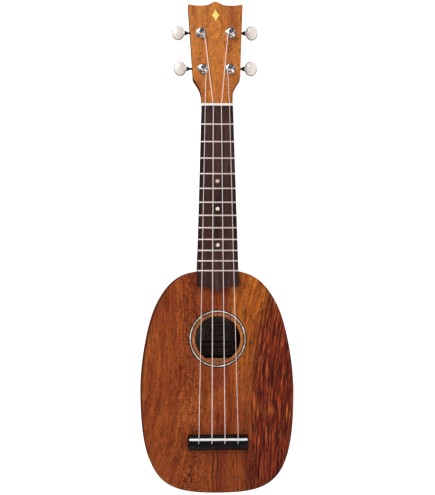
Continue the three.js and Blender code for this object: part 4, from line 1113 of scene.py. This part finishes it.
def winding_route(string, nut_point, before=0.0):
    """Round the post on the side that faces the middle, and through its hole, in the headstock's space.

    It starts `before` radians ahead of the place where the straight string meets the post.
    """
    post_x, post_y = string["post"]
    radius = WAIST["radius"] + string["diameter"] / 2 + COIL_GAP
    nut = HEAD_SPACE.inverted() @ (BODY_SPACE @ nut_point)
    away = Vector((post_x - abs(nut.x), nut.y - post_y))
    first = math.atan2(away.y, away.x) % TURN - TURN + math.acos(radius / away.length)
    last = TURN * 2 + math.pi / 2 - COIL_BEND / radius
    steps = 84
    places = []
    for i in range(steps + 1):
        angle = first - before + (last - first + before) * i / steps
        turns = max(angle - first, 0) / TURN
        climb = smoothstep(turns, COIL_EVEN_TURNS, (last - first) / TURN)
        even = min(turns, COIL_EVEN_TURNS) * COIL_PITCH
        places.append((*polar(radius, angle), even + (COIL_HOLE_RISE - even) * climb))
    for angle in quarter(6)[-2::-1]:
        across = COIL_BEND * (1 - math.cos(angle))
        places.append((across, radius - COIL_BEND * (1 - math.sin(angle)), COIL_HOLE_RISE))
    places.append((0, -(WAIST["radius"] + COIL_TAIL), COIL_HOLE_RISE))
    return [Vector((string["side"] * (post_x - x), post_y + y, COIL_START + z)) for x, y, z in places]


def to_body_space(point):
    return BODY_SPACE.inverted() @ (HEAD_SPACE @ point)


def knot(centre, scale, radius):
    """An overhand knot pulled tight: a small trefoil."""
    points = []
    for i in range(49):
        t = TURN * i / 48
        points.append(centre + scale * Vector((
            math.sin(t) + 2 * math.sin(2 * t), -0.8 * math.sin(3 * t), math.cos(t) - 2 * math.cos(2 * t)
        )))
    return swept(points, radius, 10)


def strings():
    for letter, string in STRINGS.items():
        radius = string["diameter"] / 2
        speaking = speaking_route(string)
        coil = winding_route(string, speaking[-1])
        route = speaking + [to_body_space(coil[0])]
        tied = knot(speaking[0], KNOT_SCALE, radius)
        piece(f"nylon_string_{letter}", together(swept(route, radius), tied), NYLON,
              slot="string_nylon", replaces=[f"string_{letter}"])
        wound = winding_route(string, speaking[-1], before=COIL_OVERLAP)
        piece(f"nylon_winding_{letter}", swept(wound, radius), NYLON, HEAD_SPACE,
              body=f"post_{letter}", slot="string_nylon")


# ---------------------------------------------------------------- nut, saddle and bridge


def channel(route, radius, height):
    """A cutter for a round-bottomed slot along route, open at the top."""
    rings = []
    for i, point in enumerate(route):
        along = route[min(i + 1, len(route) - 1)] - route[max(i - 1, 0)]
        side = Vector((along.y, -along.x, 0)).normalized()
        up = Vector((0, 0, 1))
        bottom = [point + side * x - up * z for x, z in arc((0, 0), radius, 0, 180, 10)]
        opening = [bottom[-1] + up * height, bottom[0] + up * height]
        rings.append([tuple(p) for p in bottom + opening])
    return loft(rings)


def nut():
    front, back = NUT_Y, HEAD_Y - GLUE
    foot, top = BODY_DEPTH + GLUE, BODY_DEPTH + NUT_HEIGHT
    profile = [(front, foot), (back, foot)]
    profile += quadratic((back, top - 1.6), (back, top - 0.2), (back - 1.3, top), 6)
    profile.insert(2, (back, top - 1.6))
    profile += [(front + 0.4, top)] + quadratic((front + 0.4, top), (front, top), (front, top - 0.4), 4)
    slots = []
    for string in STRINGS.values():
        speaking = speaking_route(string)
        leaving = speaking[-1]
        coil = to_body_space(winding_route(string, leaving)[0])
        onward = (coil - leaving).normalized() * 5
        back_a_little = Vector((0, -1, 0))
        route = [leaving + back_a_little, leaving, leaving + onward]
        slots.append(channel(route, string["diameter"] / 2 + NUT_SLOT_ROOM, 5))
    piece("bone_nut", extruded(profile, NUT_HALF_WIDTH, 0.25), BONE, slot="bone", replaces=["nut"],
          cut=slots, sharp=28)


def saddle():
    half = SADDLE_THICKNESS / 2
    bottom = BODY_DEPTH + BRIDGE["height"] - BRIDGE["slot_depth"] + GLUE
    profile = arc((SADDLE_Y, SADDLE_TOP - half), half, 0, 180, 14)
    profile += [(SADDLE_Y - half, bottom), (SADDLE_Y + half, bottom)]
    piece("bone_saddle", extruded(profile, SADDLE_LENGTH / 2, 0.5), BONE, slot="bone",
          replaces=["saddle"])


def bridge():
    foot, top = BODY_DEPTH + GLUE, BODY_DEPTH + BRIDGE["height"]
    front, back = SADDLE_Y + BRIDGE["front"], SADDLE_Y - BRIDGE["back"]
    slot = SADDLE_THICKNESS / 2 + GLUE
    floor = top - BRIDGE["slot_depth"]
    rise = foot + BRIDGE["lip"]
    profile = rounded([
        (back, foot), (back, rise), (back + 1.2, top - 1), (back + 3.2, top), (SADDLE_Y - slot, top),
    ], 0.9)
    profile += [(SADDLE_Y - slot, floor), (SADDLE_Y + slot, floor)]
    profile += rounded([
        (SADDLE_Y + slot, top), (front - 2.4, top), (front - 1.6, top - 0.5), (front, rise),
        (front, foot),
    ], 0.7)
    bore = cylinder(KNOT_BORE["radius"], -1, KNOT_BORE["depth"], 24)
    inwards = Matrix.Rotation(-math.pi / 2, 4, "X")
    cuts = []
    for string in STRINGS.values():
        knot_place, saddle_touch = speaking_route(string)[:2]
        lay = Matrix.Translation((knot_place.x, back, knot_place.z)) @ inwards
        cuts += [turned_mesh(bore, lay), swept([knot_place, saddle_touch], STRING_HOLE_RADIUS, 16)]
    piece("ebony_bridge", extruded(profile, BRIDGE["length"] / 2, 0.5), BRIDGE_WOOD,
          slot="bridge_wood", replaces=["bridge"], cut=cuts, bevel=0.12)


# ---------------------------------------------------------------- tuners


def hexagon(corner_radius, steps):
    """A hexagon as a ring of many points."""
    flat = corner_radius * math.cos(math.pi / 6)
    ring = []
    for i in range(steps):
        angle = TURN * i / steps
        radius = flat / math.cos((angle + math.pi / 6) % (math.pi / 3) - math.pi / 6)
        ring.append(polar(radius, angle))
    return ring


def bushing():
    """Washer, chamfered hexagon and sleeve, with a bore all the way through."""
    steps = 72
    bottom = BUSHING_BOTTOM
    shelf = bottom + WASHER["thickness"]
    bore = POST["radius"] + SHAFT_PLAY
    flat = BUSHING["hex_radius"] * math.cos(math.pi / 6)
    hexagonal = hexagon(BUSHING["hex_radius"], steps)

    def ring(radius, z):
        return at(circle(radius, steps), z)

    def chamfered(radius, z):
        shrink = [min(1, radius / math.hypot(*point)) for point in hexagonal]
        return [(x * share, y * share, z) for (x, y), share in zip(hexagonal, shrink)]

    washer = WASHER["radius"]
    sleeve_bottom = VENEER - BUSHING["sleeve"]
    rings = [
        ring(BUSHING["sleeve_radius"], sleeve_bottom), ring(BUSHING["sleeve_radius"], bottom),
        ring(washer - 0.1, bottom), ring(washer, bottom + 0.1), ring(washer, shelf - 0.25),
        ring(washer - 0.08, shelf - 0.08), ring(washer - 0.25, shelf),
        chamfered(BUSHING["hex_radius"], shelf), chamfered(BUSHING["hex_radius"], BUSHING_TOP - 1.1),
        chamfered(flat + 0.1, BUSHING_TOP - 0.6), ring(flat - 0.35, BUSHING_TOP - 0.38),
        ring(flat - 0.85, BUSHING_TOP - 0.19), ring(bore + 0.15, BUSHING_TOP),
        ring(bore, BUSHING_TOP - 0.15), ring(bore, sleeve_bottom),
    ]
    return loft(rings, around=True)


def tooth_section(root, tip, root_growth=0.0):
    """A tooth's four corners as (distance from the axis, half a width to either side)."""
    root_half = TOOTH["root_width"] / 2 + root_growth
    tip_half = TOOTH["tip_width"] / 2
    return [(root, -root_half), (tip, -tip_half), (tip, tip_half), (root, root_half)]


def worm_wheel():
    """The wheel's leaning teeth, meshing with the worm as in the frame."""
    lean = GEAR_LEAD / (TURN * WORM_RADIUS) / WHEEL_RADIUS
    section = tooth_section(WHEEL_RADIUS - TOOTH["root"], WHEEL_RADIUS + TOOTH["tip"])
    corners = [(radius, width / radius) for radius, width in section]
    rings = []
    for z in (-WHEEL_THICKNESS / 2, WHEEL_THICKNESS / 2):
        ring = []
        for tooth in range(WHEEL_TEETH):
            middle = math.pi / 2 + TURN * tooth / WHEEL_TEETH - lean * z
            ring += at([polar(radius, middle + angle) for radius, angle in corners], WORM_Z + z)
        rings.append(ring)
    return loft(rings)


def string_post():
    """The post from its pivot, through the wheel's hub and the waist, to a top with a small dimple."""
    r, waist, top = POST["radius"], WAIST["radius"], POST["top"]
    waist_start, waist_end = WAIST["start"], WAIST["end"]
    pivot_end = -HEAD_THICKNESS - HOUSING["depth"] + 0.4
    wheel_bottom, wheel_top = WORM_Z - WHEEL_THICKNESS / 2, WORM_Z + WHEEL_THICKNESS / 2
    profile = [(0, pivot_end), (POST["pivot"], pivot_end), (POST["pivot"], wheel_bottom + 0.5),
               (r - 0.4, wheel_bottom + 0.6), (r, wheel_top - 0.3)]
    profile += rounded([
        (r, -12), (r, waist_start - 0.75), (waist, waist_start - 0.4), (waist, waist_end),
        (r, waist_end + 0.4), (r, top), (r - 1.2, top),
    ], 0.45)
    profile += [(0.9, top), (0.7, top - 0.3), (0, top - 0.3)]
    return turned(profile, 40)


def rounded_rectangle(half_width, y0, y1, corner):
    x = half_width - corner
    centres = ((x, y0 + corner), (x, y1 - corner), (-x, y1 - corner), (-x, y0 + corner))
    outline = []
    for turns, centre in enumerate(centres):
        outline += arc(centre, corner, 90 * turns - 90, 90 * turns, 6)
    return outline


def housing():
    """The gear case: rounded outside, hollow towards the headstock."""
    bottom = HOUSING_TOP - HOUSING["depth"]
    outer = rounded_rectangle(HOUSING["half_width"], HOUSING["back"], HOUSING["front"], 2.6)
    inner = inset(outer, HOUSING["wall"])
    edge, lip_edge, floor = 1.3, 0.2, 1.5
    rings = [at(inset(outer, edge + 0.3), bottom)]
    for angle in quarter(5):
        drawn = edge * (1 - math.sin(angle))
        rings.append(at(inset(outer, drawn), bottom + edge * (1 - math.cos(angle))))
    rings += [at(outer, HOUSING_TOP - lip_edge), at(inset(outer, lip_edge), HOUSING_TOP)]
    rings += [at(inner, HOUSING_TOP), at(inner, bottom + floor)]
    return loft(rings)


def boss():
    """The round collar on the case's side that the shaft comes out of, along +Z."""
    reach = HOUSING["boss"]
    return turned(rounded([(0, -0.8), (3.4, -0.8), (3.1, 0.3), (2.9, reach), (0, reach)], 0.35), 36)


def screw(radius, height):
    """A domed screw head with its shank below z 0, and the cutters of its cross."""
    shank = radius * 0.45
    profile = [(0, -2.2), (shank, -2.2), (shank, -0.3), (radius, -0.2)]
    profile += [(radius * math.cos(a), height * math.sin(a)) for a in quarter(6)[:-1]]
    profile.append((0, height))
    narrow, wide = radius * 0.2, radius * 0.62
    cross = [plate(rectangle(-half_x, half_x, -half_y, half_y), height * 0.3, height + 1)
             for half_x, half_y in ((narrow, wide), (wide, narrow))]
    return turned(profile, 28), cross


def shaft_core():
    """The shaft along +Z: journal, the worm's root, collar and tang."""
    worm = WORM_TURNS * GEAR_LEAD / 2
    root = WORM_RADIUS - TOOTH["root"]
    r, tang, collar = SHAFT["radius"], SHAFT["tang_radius"], COLLAR["radius"]
    start, end = COLLAR["start"], COLLAR["end"]
    journal = r - 0.05
    profile = [(0, -SHAFT["journal"]), (journal, -SHAFT["journal"]), (journal, -worm), (root, -worm),
               (root, worm)]
    profile += rounded([
        (r, worm + 0.2), (r, start - 1.2), (collar * 0.72, start - 0.2), (collar, start + 0.7),
        (collar, end), (tang, end),
    ], 0.35)
    return turned(profile + [(tang, SHAFT["tang_end"]), (0, SHAFT["tang_end"])], 36)


def worm_thread():
    sunk = 0.35
    section = tooth_section(WORM_RADIUS - TOOTH["root"] - sunk, WORM_RADIUS + TOOTH["tip"], 0.1)
    steps = round(WORM_TURNS * 20)
    rings = []
    for i in range(steps + 1):
        turns = (i / steps - 0.5) * WORM_TURNS
        rings.append([(*polar(radius, turns * TURN), turns * GEAR_LEAD + z) for radius, z in section])
    return loft(rings)


def button():
    """A broad flattened oval with slightly flat faces, along +X from its collar."""
    steps, rows, flatness = 40, 20, 0.72
    rings = []
    for row in range(1, rows):
        polar = math.pi * row / rows
        ring = []
        for i in range(steps):
            angle = TURN * i / steps
            across, through = math.sin(polar) * math.cos(angle), math.sin(polar) * math.sin(angle)
            ring.append((
                BUTTON["centre"] - BUTTON["half_length"] * math.cos(polar),
                BUTTON["half_width"] * across,
                BUTTON["half_thickness"] * math.copysign(abs(through) ** flatness, through),
            ))
        rings.append(ring)
    return loft(rings)


def button_neck():
    """The collar between the button and its shaft, along +Z."""
    start = COLLAR["end"] + 0.1
    profile = [(0, start), (2.6, start), (2.4, start + 1.5), (2.2, 20), (0, 20)]
    return turned(rounded(profile, 0.3), 36)


def lying(shape, x):
    """A shape turned about Z laid along +X at the worm's height, starting at x."""
    return turned_mesh(shape, Matrix.Translation((x, GEAR_CENTRES, WORM_Z)) @ TO_X)


def geared_case(letter, space):
    side = HOUSING["half_width"]
    bore = cylinder(SHAFT["radius"] + SHAFT_PLAY, -2, 8, 24)
    groove_floor = -HEAD_THICKNESS - HOUSING["depth"] + CASE_GROOVE["depth"]
    groove = hoop(CASE_GROOVE["inner"], CASE_GROOVE["outer"], -30, groove_floor, 48)
    piece(f"tuner_case_{letter}", housing(), DIE_CAST, space, slot="die_cast",
          replaces=[f"tuner_housing_{letter}"], fused=[lying(boss(), side)],
          cut=[lying(bore, side - 2), groove])


def post_in_bushing(letter, space):
    piece(f"tuner_bushing_{letter}", bushing(), SATIN_CHROME, space, slot="chrome",
          replaces=[f"post_bushing_{letter}"], sharp=24)
    hole = cylinder(POST["hole"], -5, 5, 24)
    to_hole = Matrix.Translation((0, 0, COIL_START + COIL_HOLE_RISE))
    across = to_hole @ Matrix.Rotation(math.pi / 2, 4, "X")
    piece(f"tuner_post_{letter}", string_post(), CHROME, space, body=f"post_{letter}", slot="chrome",
          replaces=[f"string_post_{letter}"], fused=[worm_wheel()], cut=[turned_mesh(hole, across)],
          sharp=28)


def shaft_and_button(letter, space):
    """What turns with the button, along +X from the worm's middle."""
    body = f"knob_{letter}"
    piece(f"tuner_shaft_{letter}", turned_mesh(shaft_core(), TO_X), SHAFT_STEEL, space, body=body,
          slot="shaft_steel", replaces=[f"worm_shaft_{letter}"],
          fused=[turned_mesh(worm_thread(), TO_X)], sharp=30)
    pocket = cylinder(SCREW["pocket_radius"], BUTTON_END - SCREW["pocket_depth"], BUTTON_END + 1, 28)
    piece(f"oval_button_{letter}", button(), PEARLOID, space, body=body, slot="button_pearloid",
          replaces=[f"tuner_button_{letter}"], fused=[turned_mesh(button_neck(), TO_X)],
          cut=[turned_mesh(pocket, TO_X)], sharp=50)
    head, cross = screw(SCREW["radius"], SCREW["height"])
    in_pocket = Matrix.Translation((BUTTON_END - SCREW["sunk"], 0, 0)) @ TO_X
    piece(f"button_screw_{letter}", turned_mesh(head, in_pocket), CHROME, space, body=body,
          slot="chrome", cut=[turned_mesh(cutter, in_pocket) for cutter in cross])


def tuner(letter, string):
    side = string["side"]
    space = HEAD_SPACE @ Matrix.Translation((side * string["post"][0], string["post"][1], 0))
    geared_case(letter, space @ Matrix.Scale(side, 4, (1, 0, 0)))
    post_in_bushing(letter, space)
    knob_space = space @ Matrix.Translation((0, GEAR_CENTRES, WORM_Z))
    if side < 0:
        knob_space = knob_space @ Matrix.Rotation(math.pi, 4, "Y")
    shaft_and_button(letter, knob_space)


# ---------------------------------------------------------------- stage


def area_light(name, place, size, power):
    """A soft box that faces the middle of the floor."""
    data = bpy.data.lights.new(name, "AREA")
    data.shape = "RECTANGLE"
    data.size, data.size_y = size
    data.energy = power
    light = bpy.data.objects.new(name, data)
    light.location = place
    light.rotation_euler = (-Vector(place)).to_track_quat("-Z", "Y").to_euler()
    bpy.context.scene.collection.objects.link(light)


def stage():
    """A white light table, which hides most of the shadow, under three soft boxes."""
    paint = Paint("light_table", roughness=0.9, specular_ior_level=0.1, emission_strength=0.75,
                  emission_color=(1, 1, 1, 1))
    speckle = paint.noise(paint.place, (40, 40, 40))
    table = paint.done(paint.ramp(speckle, (0.3, (248, 248, 248)), (0.7, (254, 254, 254))))
    square = at(rectangle(-4, 4, -4, 4), -0.0004), [(0, 1, 2, 3)]
    floor = raw_object("floor", square, Matrix.Identity(4))
    floor.data.materials.append(table)
    world = bpy.data.worlds.new("studio")
    world.use_nodes = True
    background = world.node_tree.nodes["Background"]
    background.inputs["Color"].default_value = (1, 1, 1, 1)
    background.inputs["Strength"].default_value = 0.1
    bpy.context.scene.world = world
    area_light("key", (-1.0, 1.9, 1.6), (1.4, 1.4), 52)
    area_light("fill", (1.5, -0.5, 1.6), (1.2, 1.2), 18)
    area_light("front", (-0.6, -1.7, 1.5), (1.2, 1.0), 16)
    bpy.context.scene.view_settings.view_transform = "Standard"


def camera():
    """Looks down on the whole instrument, from a little to its bass side and towards its tail."""
    data = bpy.data.cameras.new("camera")
    made = bpy.data.objects.new("camera", data)
    bpy.context.scene.collection.objects.link(made)
    distance, view_height = 2.5, 0.5214
    data.sensor_width = 36
    data.lens = data.sensor_width * distance / view_height
    centre = Vector((-0.0002, -0.0024, BOARD_TOP / 1000))
    sideways = Matrix.Rotation(math.radians(-3.5), 4, "Y")
    towards_tail = Matrix.Rotation(math.radians(1.0), 4, "X")
    lean = Matrix.Rotation(math.radians(-0.16), 4, "Z")
    aim = Matrix.Translation(centre) @ sideways @ towards_tail @ lean
    made.matrix_world = aim @ Matrix.Translation((0, 0, distance))
    bpy.context.scene.camera = made


camera()
stage()
body()
neck_pieces()
strings()
nut()
saddle()
bridge()
for letter, string in STRINGS.items():
    tuner(letter, string)
